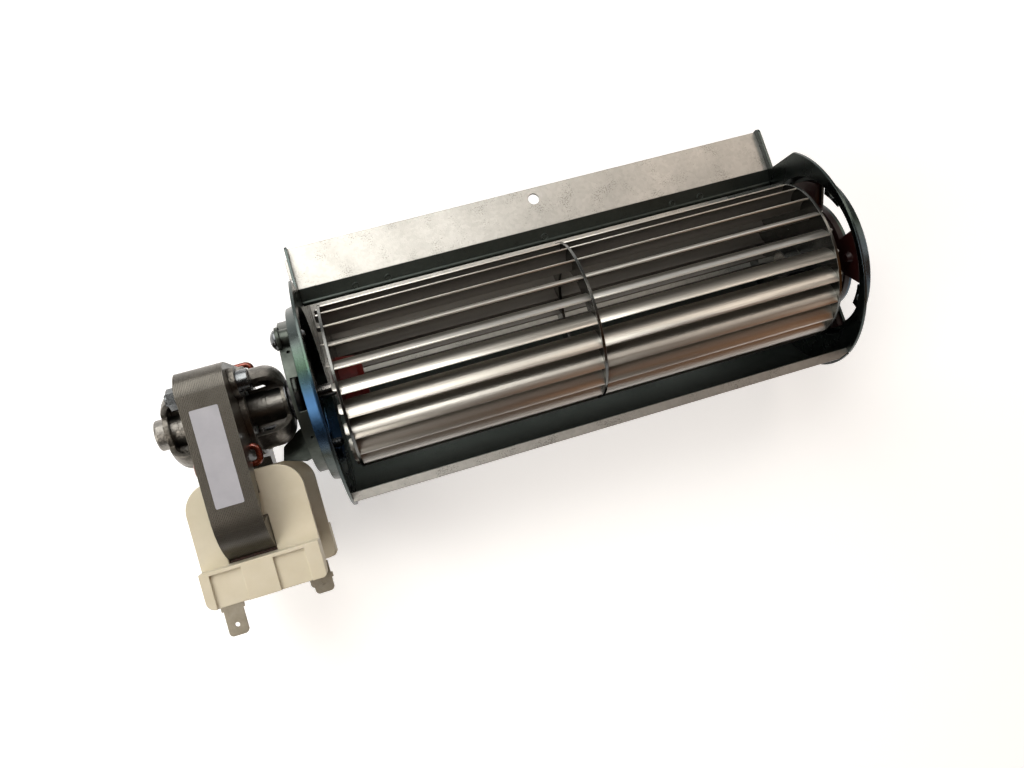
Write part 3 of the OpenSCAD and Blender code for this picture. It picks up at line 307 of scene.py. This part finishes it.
# the plate at the far end has less of the painted reflection
side = addNode(tree, "ShaderNodeMath", links={0: along.outputs["X"]}, operation="SIGN")
weaker = addNode(tree, "ShaderNodeMapRange",
                 {"From Min": -1, "From Max": 1, "To Min": 1, "To Max": plateLook["rightShare"]},
                 {"Value": side.outputs[0]})
share = addNode(tree, "ShaderNodeMath", links={0: share.outputs[0], 1: weaker.outputs[0]},
                operation="MULTIPLY")
withReflection = addNode(tree, "ShaderNodeMix", data_type="RGBA",
                 links={mixShare: share.outputs[0], mixFirst: worn, mixSecond: paintedReflection.outputs[mixed]})
# painted shade: the dish is painted dark beyond its rim
fromMiddle = addNode(tree, "ShaderNodeMath", links={0: along.outputs["X"]}, operation="ABSOLUTE")
deep = addNode(tree, "ShaderNodeMapRange", {
    "From Min": plateLook["dishFrom"][0] * mm, "From Max": plateLook["dishFrom"][1] * mm,
    "To Max": plateLook["dishShare"]}, {"Value": fromMiddle.outputs[0]})
withReflection = addNode(tree, "ShaderNodeMix", {mixSecond: linearColour(plateLook["dish"])},
                 {mixShare: deep.outputs[0], mixFirst: withReflection.outputs[mixed]}, data_type="RGBA")
# painted shade: the faces that look at the wheel are painted dark, as they lie in shadow inside the casing
facing = addNode(tree, "ShaderNodeSeparateXYZ",
                 links={0: addNode(tree, "ShaderNodeNewGeometry").outputs["Normal"]})
inwards = addNode(tree, "ShaderNodeMath", links={0: facing.outputs["X"], 1: side.outputs[0]},
                  operation="MULTIPLY")
hidden = addNode(tree, "ShaderNodeMapRange", {
    "From Min": plateLook["insideFrom"][0], "From Max": plateLook["insideFrom"][1],
    "To Max": plateLook["insideShare"]}, {"Value": inwards.outputs[0]})
insideShaded = addNode(tree, "ShaderNodeMix", {mixSecond: linearColour(plateLook["inside"])},
                {mixShare: hidden.outputs[0], mixFirst: withReflection.outputs[mixed]}, data_type="RGBA")
tree.links.new(insideShaded.outputs[mixed], principled.inputs["Base Color"])

# Cold rolled strip: bright, with long faint rolling lines along the blade
stripLook = {
    "colours": ("#dedbd4", "#c4c0b8"), "blotch": 3, "stretch": (0.03, 1, 1), "grain": 0.5,
    "roughness": (0.34, 0.44), "bump": 0.12, "edge": 0.1, "dustAndShade": "#57524c", "dustAndShadeFrom": (2, -0.5),
    "dustAndShadeShare": 0.85, "dustRoughness": 0.62,
}
stripSteel, tree, principled, place = startMaterial("cold rolled steel strip", {"Metallic": 1.0})
bright, rolled = surface(tree, principled, place, stripLook)
# the hollow side, which faces the shaft, is darker and duller: dust and oil dull it, and painted shade
# darkens it inside the wheel
facing = addNode(tree, "ShaderNodeVectorTransform", vector_type="NORMAL", convert_from="WORLD",
                 convert_to="OBJECT", links={0: addNode(tree, "ShaderNodeNewGeometry").outputs["Normal"]})
outwards = addNode(tree, "ShaderNodeVectorMath", operation="DOT_PRODUCT",
                   links={0: facing.outputs[0], 1: acrossFrom(tree, place, places["shaft"])})
dustAndShadeMask = addNode(tree, "ShaderNodeMapRange", {
    "From Min": stripLook["dustAndShadeFrom"][0] * mm, "From Max": stripLook["dustAndShadeFrom"][1] * mm,
    "To Max": stripLook["dustAndShadeShare"]}, {"Value": outwards.outputs["Value"]})
dulledAndShaded = addNode(tree, "ShaderNodeMix", {mixSecond: linearColour(stripLook["dustAndShade"])},
                 {mixShare: dustAndShadeMask.outputs[0], mixFirst: bright}, data_type="RGBA")
tree.links.new(dulledAndShaded.outputs[mixed], principled.inputs["Base Color"])
matt = addNode(tree, "ShaderNodeMapRange",
               {"From Max": stripLook["dustAndShadeShare"], "To Max": stripLook["dustRoughness"]},
               {"Value": dustAndShadeMask.outputs[0]})
rough = addNode(tree, "ShaderNodeMath", links={0: rolled, 1: matt.outputs[0]}, operation="MAXIMUM")
tree.links.new(rough.outputs[0], principled.inputs["Roughness"])
# Punched from smooth sheet: a neutral grey that mirrors light and dark sharply
discSteel = plainFinish("punched disc steel", {"Metallic": 1.0}, {
    "colours": ("#757674", "#585957"), "blotch": 8, "grain": 0.6, "roughness": (0.16, 0.28), "bump": 0.06,
    "edge": 0.3})
# Ground bar: fine lines round it and one sharp highlight along it
groundSteel = plainFinish("ground steel bar", {"Metallic": 1.0}, {
    "colours": ("#9d9a95", "#868380"), "blotch": 2, "stretch": (3, 0.4, 0.4), "grain": 0.25,
    "roughness": (0.12, 0.2), "bump": 0.06, "edge": 0.2})
# Bright zinc plating: a little blue and shiny, with duller spots
zincPlate = plainFinish("bright zinc plated steel", {"Metallic": 1.0}, {
    "colours": ("#7d8082", "#5e6164"), "blotch": 3, "grain": 0.3, "roughness": (0.2, 0.32), "bump": 0.08,
    "edge": 0.25})
# Pressed bracket: an olive grey passivation, duller than the screws
bracketSteel = plainFinish("olive passivated steel", {"Metallic": 1.0}, {
    "colours": ("#545954", "#404541"), "blotch": 6, "grain": 0.4, "roughness": (0.3, 0.42), "bump": 0.1,
    "edge": 0.35})
# Pressure die casting: a dull skin with faint flow marks, and lighter barrels, partly from their turned
# finish and partly a painted highlight
castLook = {
    "colours": ("#7f7b74", "#4c4944"), "blotch": 3, "grain": 0.7, "roughness": (0.3, 0.46), "bump": 0.22,
    "edge": 0.5, "turned": "#8f8c87", "turnedFrom": (7.4, 6.8), "turnedShare": 0.8,
}
castAlloy, tree, principled, place = startMaterial("die cast zinc alloy", {"Metallic": 1.0})
darkenedTone = surface(tree, principled, place, castLook)[0]
away = addNode(tree, "ShaderNodeVectorMath", links={0: acrossFrom(tree, place, places["shaft"])},
               operation="LENGTH")
# painted highlight: near the shaft the barrels are painted lighter, partly their turned finish and partly the
# light they catch
barrel = addNode(tree, "ShaderNodeMapRange", {
    "From Min": castLook["turnedFrom"][0] * mm, "From Max": castLook["turnedFrom"][1] * mm,
    "To Max": castLook["turnedShare"]}, {"Value": away.outputs["Value"]})
turnedAndLit = addNode(tree, "ShaderNodeMix", {mixSecond: linearColour(castLook["turned"])},
                  {mixShare: barrel.outputs[0], mixFirst: darkenedTone}, data_type="RGBA")
tree.links.new(turnedAndLit.outputs[mixed], principled.inputs["Base Color"])
# The rings' thick wire carries a red-brown insulating varnish that shines
ringCopper = plainFinish("varnished copper wire", {
    "Metallic": 0.7, "Coat Weight": 0.9, "Coat Roughness": 0.08}, {
    "colours": ("#8c3a20", "#5a1f10"), "blotch": 2, "grain": 0.5, "roughness": (0.22, 0.34), "bump": 0.06,
    "edge": 0.2})
# Tinned brass: a warm grey that hardly shines
tinPlate = plainFinish("tinned brass", {"Metallic": 1.0}, {
    "colours": ("#a39d90", "#8d8779"), "blotch": 4, "grain": 0.4, "roughness": (0.42, 0.52), "bump": 0.1,
    "edge": 0.25})
# Cast round the rotor: pale and slightly sandy
castAluminium = plainFinish("cast aluminium", {"Metallic": 1.0}, {
    "colours": ("#b8b8b6", "#9c9c9a"), "blotch": 3, "grain": 0.7, "roughness": (0.32, 0.5), "bump": 0.3,
    "edge": 0.3})
# Pressed from powder: an even dull brown-gold with open pores
bronze = plainFinish("sintered bronze", {"Metallic": 1.0}, {
    "colours": ("#8f7040", "#6e5430"), "blotch": 1.5, "grain": 0.25, "roughness": (0.35, 0.5), "bump": 0.3,
    "edge": 0.2})
# Moulded and glass filled: a warm cream with a satin face, soft where light passes its thin edges
creamPlastic = plainFinish("glass filled polyester moulding", {
    "IOR": 1.5, "Subsurface Weight": 0.08, "Subsurface Scale": 0.002, "Subsurface Radius": (1.0, 0.8, 0.5)}, {
    "colours": ("#d3ccb9", "#c7bfa8"), "blotch": 16, "grain": 0.5, "roughness": (0.42, 0.54), "bump": 0.06,
    "edge": 0.5})
# Moulded silicone rubber: a deep even red with a soft sheen
redSilicone = plainFinish("red silicone rubber", {"IOR": 1.43}, {
    "colours": ("#7e140b", "#600d07"), "blotch": 3, "grain": 0.4, "roughness": (0.34, 0.46), "bump": 0.08,
    "edge": 0.4})
# The same rubber in a dark maroon, painted near black as shade where it sits inside the end plate
darkSilicone = plainFinish("maroon silicone rubber in painted shade", {"IOR": 1.43}, {
    "colours": ("#210706", "#160404"), "blotch": 4, "grain": 0.4, "roughness": (0.34, 0.46), "bump": 0.08,
    "edge": 0.4})
# Moulded in a polished tool: near black with a clear highlight
blackRubber = plainFinish("black nitrile rubber", {"IOR": 1.52}, {
    "colours": ("#191a1d", "#101113"), "blotch": 3, "grain": 0.3, "roughness": (0.16, 0.28), "bump": 0.06,
    "edge": 0.5})
# Turned nylon: milky and satin
whiteNylon = plainFinish("natural nylon", {"IOR": 1.53}, {
    "colours": ("#e4e0d4", "#d6d0c0"), "blotch": 2, "grain": 0.3, "roughness": (0.4, 0.5), "bump": 0.06,
    "edge": 0.2})
# Punched electrical sheet, browned by its varnish, with a fine sparkle
stackSteel = plainFinish("varnished electrical sheet", {"Metallic": 0.85, "Coat Weight": 0.2}, {
    "colours": ("#69655e", "#57544e"), "blotch": 14, "grain": 0.4, "roughness": (0.32, 0.42), "bump": 0.12,
    "edge": 0.1})
# Enamelled wire: a clear red-brown enamel over copper, painted darker as shade where the winding sits under
# the stack
enamelWire = plainFinish("enamelled copper wire", {
    "Metallic": 0.6, "Coat Weight": 0.8, "Coat Roughness": 0.12}, {
    "colours": ("#3d170c", "#28100a"), "blotch": 2, "grain": 0.4, "roughness": (0.26, 0.36), "bump": 0.04,
    "edge": 0.1})
# A blank label of coated film with a satin face
labelFilm = plainFinish("satin polyester label", {"IOR": 1.5, "Coat Weight": 0.3, "Coat Roughness": 0.2}, {
    "colours": ("#a9aab2", "#9d9ea7"), "blotch": 8, "grain": 0.3, "roughness": (0.38, 0.48), "bump": 0.03,
    "edge": 0.05})

finishes = {
    "scroll_sheet": sheetSteel, "tongue_sheet": tongueSteel, "motor_end_plate": plateSteel,
    "bearing_end_plate": plateSteel, "bearing_spider": darkSilicone, "end_bush": bronze,
    "motor_bracket": bracketSteel, "bracket_screws": zincPlate, "nose_grommet": blackRubber,
    "front_bearing_bracket": castAlloy, "rear_bearing_bracket": castAlloy, "front_bush": bronze,
    "rear_bush": bronze, "lamination_stack": stackSteel, "coil_leg": stackSteel,
    "shading_rings": ringCopper, "stack_screws": zincPlate, "stack_nuts": zincPlate,
    "coil_former": creamPlastic, "coil_winding": enamelWire, "spade_terminals": tinPlate,
    "motor_shaft": groundSteel, "rotor_core": stackSteel, "rotor_cage": castAluminium,
    "thrust_spacers": whiteNylon, "drive_hub": redSilicone, "drive_sleeve": groundSteel,
    "drive_disc": discSteel, "middle_ring": discSteel, "end_disc": discSteel, "blades": stripSteel,
    "stub_shaft": groundSteel,
}
for name, material in finishes.items():
    part = nodes[name]
    if part.data.materials:
        for i in range(len(part.data.materials)):
            part.data.materials[i] = material
    else:
        part.data.materials.append(material)
print("materials on", len(finishes), "parts")


def newPiece(name, mesh):
    piece = bpy.data.objects.new(name, mesh)
    bpy.context.scene.collection.objects.link(piece)
    return piece


def plainMesh(source):
    # The object's shape with its modifiers worked in
    graph = bpy.context.evaluated_depsgraph_get()
    return bpy.data.meshes.new_from_object(source.evaluated_get(graph), preserve_all_data_layers=True,
                                           depsgraph=graph)


def startTree(name, inputs):
    tree = bpy.data.node_groups.new(name, "GeometryNodeTree")
    for way in ("INPUT", "OUTPUT"):
        tree.interface.new_socket("Geometry", in_out=way, socket_type="NodeSocketGeometry")
    for label, kind in inputs.items():
        tree.interface.new_socket(label, in_out="INPUT", socket_type=kind)
    return tree, addNode(tree, "NodeGroupInput").outputs


def endTree(tree, geometry, material):
    solid = addNode(tree, "GeometryNodeRealizeInstances", links={0: geometry})
    dressed = addNode(tree, "GeometryNodeSetMaterial", {"Material": material}, {0: solid.outputs[0]})
    addNode(tree, "NodeGroupOutput", links={0: dressed.outputs[0]})


def runTree(piece, tree, values):
    # Sets the tree's inputs by their identifiers, then keeps the result as a plain mesh
    modifier = piece.modifiers.new(tree.name, "NODES")
    modifier.node_group = tree
    for socket in tree.interface.items_tree:
        if socket.in_out == "INPUT" and socket.name in values:
            modifier[socket.identifier] = values[socket.name]
    mesh = plainMesh(piece)
    piece.modifiers.clear()
    piece.data = mesh


def settle(piece, place, body, sharpFrom=35, material=None):
    # Puts the piece in its place inside its mesh, turns its faces outwards and lets it ride
    mesh = piece.data
    work = bmesh.new()
    work.from_mesh(mesh)
    # doubles within 0.002 mm; the mesh is still in millimetres here
    bmesh.ops.remove_doubles(work, verts=work.verts, dist=0.002)
    bmesh.ops.recalc_face_normals(work, faces=work.faces)
    work.to_mesh(mesh)
    work.free()
    mesh.transform(place)
    mesh.polygons.foreach_set("use_smooth", [True] * len(mesh.polygons))
    mesh.set_sharp_from_angle(angle=math.radians(sharpFrom))
    if material:
        mesh.materials.clear()
        mesh.materials.append(material)
    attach(piece, body)
    print(piece.name, "made,", len(mesh.polygons), "faces")


def arcPoints(centre, radius, start, end, steps):
    turns = [math.radians(start + (end - start) * i / steps) for i in range(steps + 1)]
    return [(centre[0] + radius * math.cos(t), centre[1] + radius * math.sin(t)) for t in turns]


def roundedRectangle(low, high, corner, steps):
    points = []
    for i, (sx, sy) in enumerate(((1, 1), (-1, 1), (-1, -1), (1, -1))):
        centre = [top - corner if s > 0 else bottom + corner for s, bottom, top in zip((sx, sy), low, high)]
        points += arcPoints(centre, corner, 90 * i, 90 * i + 90, steps)
    return points


# The wheel's blades: one curved strip with its tabs and its waist, repeated round the shaft
wheel = {
    "blades": 22, "firstBlade": 7.6, "innerRadius": 22.5, "outerRadius": 29.7, "exitAngle": 28,
    "thickness": 0.5, "tabInner": 25.0, "tabOuter": 28.6, "tabOut": 1.5, "length": 180, "disc": 1.0,
    "ring": 1.0, "edge": 0.08, "tabRound": 0.6, "tabNarrowing": 0.07, "cells": (4, 7, 3),
}
outer, inner = wheel["outerRadius"], wheel["innerRadius"]
arcRadius = (outer ** 2 - inner ** 2) / (2 * outer * math.cos(math.radians(wheel["exitAngle"])))
arcCentre = math.hypot(inner, arcRadius)
tipTurn = math.acos((outer ** 2 + arcCentre ** 2 - arcRadius ** 2) / (2 * outer * arcCentre))


def arcTurn(radius):
    # Where the blade's arc crosses this distance from the shaft
    return -math.acos((radius ** 2 - arcCentre ** 2 - arcRadius ** 2) / (2 * arcCentre * arcRadius))


# Across the strip: cells inside the tab, on the tab and outside it
stops = [arcTurn(r) for r in (inner, wheel["tabInner"], wheel["tabOuter"], outer)]
turns = []
for start, end, cells in zip(stops, stops[1:], wheel["cells"]):
    turns += [start + (end - start) * i / cells for i in range(cells)]
turns.append(stops[3])
tabFrom, tabTo = wheel["cells"][0], wheel["cells"][0] + wheel["cells"][1]
# Along the strip: both tabs, the discs' outer faces and the middle ring, where the strip has its waist
half, disc, ring = wheel["length"] / 2, wheel["disc"] / 2, wheel["ring"] / 2
tabEnd = disc + wheel["tabOut"]
rows = [-tabEnd, wheel["tabRound"] - tabEnd, disc, half / 2, half - ring, half + ring, half * 1.5,
        2 * half - disc, 2 * half + tabEnd - wheel["tabRound"], 2 * half + tabEnd]
waistRow = rows.index(half - ring)
work = bmesh.new()
grid = {}
for k, x in enumerate(rows):
    for i, t in enumerate(turns):
        if k in (0, len(rows) - 1):
            # the tab's end is narrower, so that its corners are round
            t = max(stops[1] + wheel["tabNarrowing"], min(stops[2] - wheel["tabNarrowing"], t))
        y, z = arcCentre + arcRadius * math.cos(t), arcRadius * math.sin(t)
        grid[k, i] = work.verts.new((x, y * math.cos(tipTurn) - z * math.sin(tipTurn),
                                     y * math.sin(tipTurn) + z * math.cos(tipTurn)))
for k in range(len(rows) - 1):
    onTab = k < 2 or k > len(rows) - 4
    first = tabFrom if onTab else 0
    last = tabTo if onTab or k == waistRow else len(turns) - 1
    for i in range(first, last):
        work.faces.new((grid[k, i], grid[k + 1, i], grid[k + 1, i + 1], grid[k, i + 1]))
bmesh.ops.delete(work, geom=[v for v in work.verts if not v.link_faces], context="VERTS")
bladeMesh = bpy.data.meshes.new("blade_strips")
work.to_mesh(bladeMesh)
work.free()
blades = newPiece("blade_strips", bladeMesh)
solid = blades.modifiers.new("strip", "SOLIDIFY")
solid.thickness, solid.offset = wheel["thickness"], 0
rounded = blades.modifiers.new("edges", "BEVEL")
rounded.width, rounded.segments, rounded.limit_method = wheel["edge"], 2, "ANGLE"
rounded.angle_limit = math.radians(50)
tree, given = startTree("blades round the shaft", {
    "Blades": "NodeSocketInt", "First blade": "NodeSocketFloat"})
points = addNode(tree, "GeometryNodePoints", links={"Count": given["Blades"]})
index = addNode(tree, "GeometryNodeInputIndex")
share = addNode(tree, "ShaderNodeMath", links={0: index.outputs[0], 1: given["Blades"]}, operation="DIVIDE")
angle = addNode(tree, "ShaderNodeMath", {1: 2 * math.pi}, {0: share.outputs[0], 2: given["First blade"]},
                operation="MULTIPLY_ADD")
spin = addNode(tree, "ShaderNodeCombineXYZ", links={"X": angle.outputs[0]})
copies = addNode(tree, "GeometryNodeInstanceOnPoints", links={
    "Points": points.outputs[0], "Instance": given["Geometry"], "Rotation": spin.outputs[0]})
endTree(tree, copies.outputs[0], stripSteel)
runTree(blades, tree, {"Blades": wheel["blades"], "First blade": math.radians(wheel["firstBlade"])})
settle(blades, shaftFrame, "rotor")
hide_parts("blades")


def punchedSheet(name, loops, thickness):
    # A flat sheet: the first loop is its edge, and the others are holes
    curve = bpy.data.curves.new(name, "CURVE")
    curve.dimensions, curve.fill_mode, curve.extrude = "2D", "BOTH", thickness / 2
    for loop in loops:
        spline = curve.splines.new("POLY")
        spline.points.add(len(loop) - 1)
        spline.use_cyclic_u = True
        for point, (a, b) in zip(spline.points, loop):
            point.co = (a, b, 0, 1)
    holder = newPiece(name + "_outline", curve)
    mesh = plainMesh(holder)
    bpy.data.objects.remove(holder)
    return mesh


# The laminations: each punched sheet is there, drawn thicker than the real 0.5 mm so that the lines show
stack = {
    "sheets": 30, "front": -33.5, "depth": 15.8, "seam": 0.07, "half": 30.5, "top": 16.7, "topRound": 8.5,
    "bottom": -47.5, "lowRound": 17, "window": 20, "pole": -17, "bore": 13.35, "screw": 2,
    "screwAt": (9.5, 17.5), "ringHole": 1.1, "ringAt": (-12.4, 17), "legTop": -35.5, "lock": (4, 1.1),
    "locks": (11.8, -25.8), "lockZ": 22.6,
}
pitch = stack["depth"] / stack["sheets"]
lowY, lowZ = stack["bottom"] + stack["lowRound"], stack["half"] - stack["lowRound"]
cut = math.degrees(math.acos((stack["window"] - lowZ) / stack["lowRound"]))
limb = [(stack["pole"], stack["window"])] + arcPoints((lowY, lowZ), stack["lowRound"], 180 - cut, 90, 14)
topRound = stack["topRound"]
limb += arcPoints((stack["top"] - topRound, stack["half"] - topRound), topRound, 90, 0, 14)
edge = limb + [(y, -z) for y, z in reversed(limb)]
circle = arcPoints((0, 0), 1, 0, 345, 23)
holes = [[(stack["bore"] * y, stack["bore"] * z) for y, z in arcPoints((0, 0), 1, 0, 352.5, 47)]]
for s in (-1, 1):
    for (cy, cz), r in ((stack["screwAt"], stack["screw"]), (stack["ringAt"], stack["ringHole"])):
        holes.append([(s * cy + r * y, s * cz + r * z) for y, z in circle])
    for cy in stack["locks"]:
        a, b = stack["lock"][0] / 2, stack["lock"][1] / 2
        holes.append([(cy + i * a, s * stack["lockZ"] + j * b) for i, j in fourCorners])
legArc = arcPoints((lowY, lowZ), stack["lowRound"], 180, 180 - cut, 10)
leg = [(stack["legTop"], stack["window"])] + legArc[::-1]
legEdge = leg + [(y, -z) for y, z in reversed(leg)]
tree, given = startTree("sheets in a row", {
    "Sheets": "NodeSocketInt", "First": "NodeSocketVector", "Step": "NodeSocketVector"})
line = addNode(tree, "GeometryNodeMeshLine",
               links={"Count": given["Sheets"], "Start Location": given["First"], "Offset": given["Step"]})
copies = addNode(tree, "GeometryNodeInstanceOnPoints",
                 links={"Points": line.outputs[0], "Instance": given["Geometry"]})
endTree(tree, copies.outputs[0], stackSteel)
for name, loops, node in (("lamination_sheets", [edge] + holes, "lamination_stack"),
                          ("leg_sheets", [legEdge], "coil_leg")):
    sheets = newPiece(name, punchedSheet(name, loops, pitch - stack["seam"]))
    runTree(sheets, tree, {"Sheets": stack["sheets"], "Step": (0, 0, pitch),
                           "First": (0, 0, stack["front"] - stack["depth"] + pitch / 2)})
    settle(sheets, motorFrame @ acrossShaft, "housing")
    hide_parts(node)


# Whatever is wound or threaded: a round wire along the piece's own line
wireTree, given = startTree("wire on a path", {"Wire radius": "NodeSocketFloat", "Sides": "NodeSocketInt"})
path = addNode(wireTree, "GeometryNodeMeshToCurve", links={0: given["Geometry"]})
ringShape = addNode(wireTree, "GeometryNodeCurvePrimitiveCircle",
                    links={"Resolution": given["Sides"], "Radius": given["Wire radius"]})
wire = addNode(wireTree, "GeometryNodeCurveToMesh", {"Fill Caps": True},
               {"Curve": path.outputs[0], "Profile Curve": ringShape.outputs[0]})
endTree(wireTree, wire.outputs[0], enamelWire)


def wirePiece(name, lines, radius, sides):
    mesh = bpy.data.meshes.new(name)
    verts = [p for points in lines for p in points]
    edges, start = [], 0
    for points in lines:
        edges += [(start + i, start + i + 1) for i in range(len(points) - 1)]
        start += len(points)
    mesh.from_pydata(verts, edges, [])
    piece = newPiece(name, mesh)
    runTree(piece, wireTree, {"Wire radius": radius, "Sides": sides})
    return piece


# The winding: one layer of turns shows, drawn thicker than the real 0.2 mm wire
coil = {
    "middle": (-41.4, -41.5), "half": (16.25, 14.35), "corner": 7, "length": 36.6, "wire": 0.3, "slack": 0.12,
    "seed": 7,
}
random.seed(coil["seed"])
halfX, halfY = (h - coil["wire"] for h in coil["half"])
loop = roundedRectangle((-halfX, -halfY), (halfX, halfY), coil["corner"], 6)
winding = []
for turnIndex in range(int(coil["length"] / (2 * coil["wire"])) - 1):
    loose = 1 - random.random() * coil["slack"] / halfX
    for i, (x, y) in enumerate(loop):
        z = -coil["length"] / 2 + coil["wire"] * (1 + 2 * (turnIndex + i / len(loop)))
        winding.append((coil["middle"][0] + x * loose, coil["middle"][1] + y * loose, z))
turnsPiece = wirePiece("coil_turns", [winding], coil["wire"], sides=6)
settle(turnsPiece, motorFrame, "housing", sharpFrom=60)
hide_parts("coil_winding")
inside = [(x * (1 - coil["wire"] / halfX), y * (1 - coil["wire"] / halfX)) for x, y in loop]
core = newPiece("coil_core", punchedSheet("coil_core", [inside], coil["length"]))
settle(core, motorFrame @ Matrix.Translation(Vector((*coil["middle"], 0))), "housing",
       material=enamelWire)

# Threads: the bracket's two self-tapping screws behind the end plate, and the ends of the two long screws
threads = {
    "radius": 1.75, "ridge": 0.2, "pitch": 1.1, "from": -10.4, "to": -6.7, "circle": 28.2, "at": 54.5,
    "longRadius": 2, "longPitch": 0.7, "longFrom": -55.1, "longTo": -54.4, "perTurn": 24,
}


def helix(centre, radius, rise, start, end, tilt=0):
    steps = max(8, int((end - start) / rise * threads["perTurn"]))
    lean = Matrix.Rotation(math.radians(tilt), 3, "X")
    points = []
    for i in range(steps + 1):
        x = start + (end - start) * i / steps
        turned = 2 * math.pi * (x - start) / rise
        y, z = centre[0] + radius * math.cos(turned), centre[1] + radius * math.sin(turned)
        points.append(tuple(lean @ Vector((x, y, z))))
    return points


lines = []
for a in (threads["at"], threads["at"] + 180):
    centre = [threads["circle"] * f(math.radians(a)) for f in (math.cos, math.sin)]
    lines.append(helix(centre, threads["radius"], threads["pitch"], threads["from"], threads["to"]))
for s in (-1, 1):
    centre = [s * v for v in stack["screwAt"]]
    lines.append(helix(centre, threads["longRadius"] - threads["ridge"] / 2, threads["longPitch"],
                       threads["longFrom"], threads["longTo"], places["motorTilt"]))
screwThreads = wirePiece("screw_threads", lines, threads["ridge"], sides=5)
settle(screwThreads, shaftFrame, "housing", sharpFrom=60, material=zincPlate)

# The tongue's rolled edge, and the small clinch marks beside it
tongue = {
    "edge": (35.76, -10.51), "slope": 20.3, "bead": 1.0, "sink": (0.35, -0.4), "ends": (-6.3, 186.3),
    "marks": (14.5, 27, 90, 144, 156), "markBack": 1.9, "markRadius": 1.15, "markWire": 0.3,
}
edgeY, edgeZ = tongue["edge"]
sinkY, sinkZ = tongue["sink"]
rolledEdge = wirePiece("tongue_bead", [[(x, edgeY + sinkY, edgeZ + sinkZ) for x in tongue["ends"]]],
                       tongue["bead"], sides=24)
settle(rolledEdge, shaftFrame, "housing", material=sheetSteel)
slope = math.radians(tongue["slope"])
backY, backZ = tongue["markBack"] * math.cos(slope), tongue["markBack"] * math.sin(slope)
mesh = bpy.data.meshes.new("clinch_marks")
mesh.from_pydata([(x, edgeY + backY, edgeZ + backZ) for x in tongue["marks"]], [], [])
marks = newPiece("clinch_marks", mesh)
tree, given = startTree("marks along the edge", {
    "Mark radius": "NodeSocketFloat", "Wire": "NodeSocketFloat", "Lean": "NodeSocketVector"})
ringShape = addNode(tree, "GeometryNodeCurvePrimitiveCircle", {"Resolution": 20},
                    {"Radius": given["Mark radius"]})
roundWire = addNode(tree, "GeometryNodeCurvePrimitiveCircle", {"Resolution": 8}, {"Radius": given["Wire"]})
mark = addNode(tree, "GeometryNodeCurveToMesh",
               links={"Curve": ringShape.outputs[0], "Profile Curve": roundWire.outputs[0]})
copies = addNode(tree, "GeometryNodeInstanceOnPoints",
                 links={"Points": given["Geometry"], "Instance": mark.outputs[0], "Rotation": given["Lean"]})
endTree(tree, copies.outputs[0], sheetSteel)
runTree(marks, tree, {"Mark radius": tongue["markRadius"], "Wire": tongue["markWire"], "Lean": (slope, 0, 0)})
settle(marks, shaftFrame, "housing")

# A blank label on the side of the laminations
label = {"low": (-46.4, -29), "high": (-37.3, 3.2), "lift": 30.47, "thickness": 0.12, "corner": 0.5}
outline = roundedRectangle(label["low"], label["high"], label["corner"], 4)
sticker = newPiece("blank_label", punchedSheet("blank_label", [outline], label["thickness"]))
settle(sticker, motorFrame @ Matrix.Translation((0, 0, label["lift"] + label["thickness"] / 2)), "housing",
       material=labelFilm)

# Webs of the bearing brackets between the barrel and the arms, each with its three-cornered opening.
# A bracket starts at its foot on the stack and goes one way or the other: start, length, way, slot length.
webs = {
    "brackets": ((-33.5, 14.8, 1, 5), (-49.3, 11.8, -1, 3.8)), "foot": 1.9, "root": 5.2, "arm": 13, "bend": 7,
    "wall": 1.6, "edge": 1, "slot": (6.9, 11.6), "slotRise": 0.3, "thickness": 1.4, "sink": -0.6,
}
loops = []
for start, length, way, slotLength in webs["brackets"]:
    knee, low = length - webs["bend"], webs["bend"] - webs["wall"]
    outline = [(webs["foot"], webs["root"]), (webs["foot"], webs["arm"])]
    outline += [(x, y) for y, x in arcPoints((webs["arm"] - low, knee), low, 0, 90, 8)]
    outline += [(knee + low, webs["root"])]
    slotX, (slotLow, slotHigh) = webs["foot"] + webs["edge"], webs["slot"]
    slot = [(slotX, slotLow), (slotX, slotHigh), (slotX + slotLength, slotLow + webs["slotRise"])]
    for side in (1, -1):
        loops.append([(start + way * x, side * y) for x, y in outline])
        loops.append([(start + way * x, side * y) for x, y in slot])
webPiece = newPiece("bracket_webs", punchedSheet("bracket_webs", loops, webs["thickness"]))
settle(webPiece, motorFrame @ Matrix.Translation((0, 0, webs["sink"])), "housing",
       material=castAlloy)

# Turned rings on the motor's nose: a steel washer against the bracket's end, and the black rubber round the
# nose. Each profile gives places along the shaft and distances from it.
turnedRings = {
    "nose_washer": (((-19.2, 5.65), (-18.75, 5.65), (-18.75, 8.1), (-18.85, 8.2), (-19.1, 8.2), (-19.2, 8.1)),
                    zincPlate, "zinc_screws"),
    "nose_rubber": (((-18.6, 5.65), (-12.7, 5.65), (-12.7, 6.6), (-13.2, 7.1), (-15, 7.4), (-17.8, 7.5),
                     (-18.4, 7.3), (-18.6, 6.9)), blackRubber, "black_rubber"),
}
ringSteps = 72
for name, (profile, material, slotName) in turnedRings.items():
    verts = [(x, r * math.cos(2 * math.pi * i / ringSteps), r * math.sin(2 * math.pi * i / ringSteps))
             for i in range(ringSteps) for x, r in profile]
    count = len(profile)
    faces = [(i * count + k, i * count + (k + 1) % count, (i + 1) % ringSteps * count + (k + 1) % count,
              (i + 1) % ringSteps * count + k) for i in range(ringSteps) for k in range(count)]
    mesh = bpy.data.meshes.new(name)
    mesh.from_pydata(verts, [], faces)
    settle(newPiece(name, mesh), shaftFrame, "housing", sharpFrom=40, material=material)
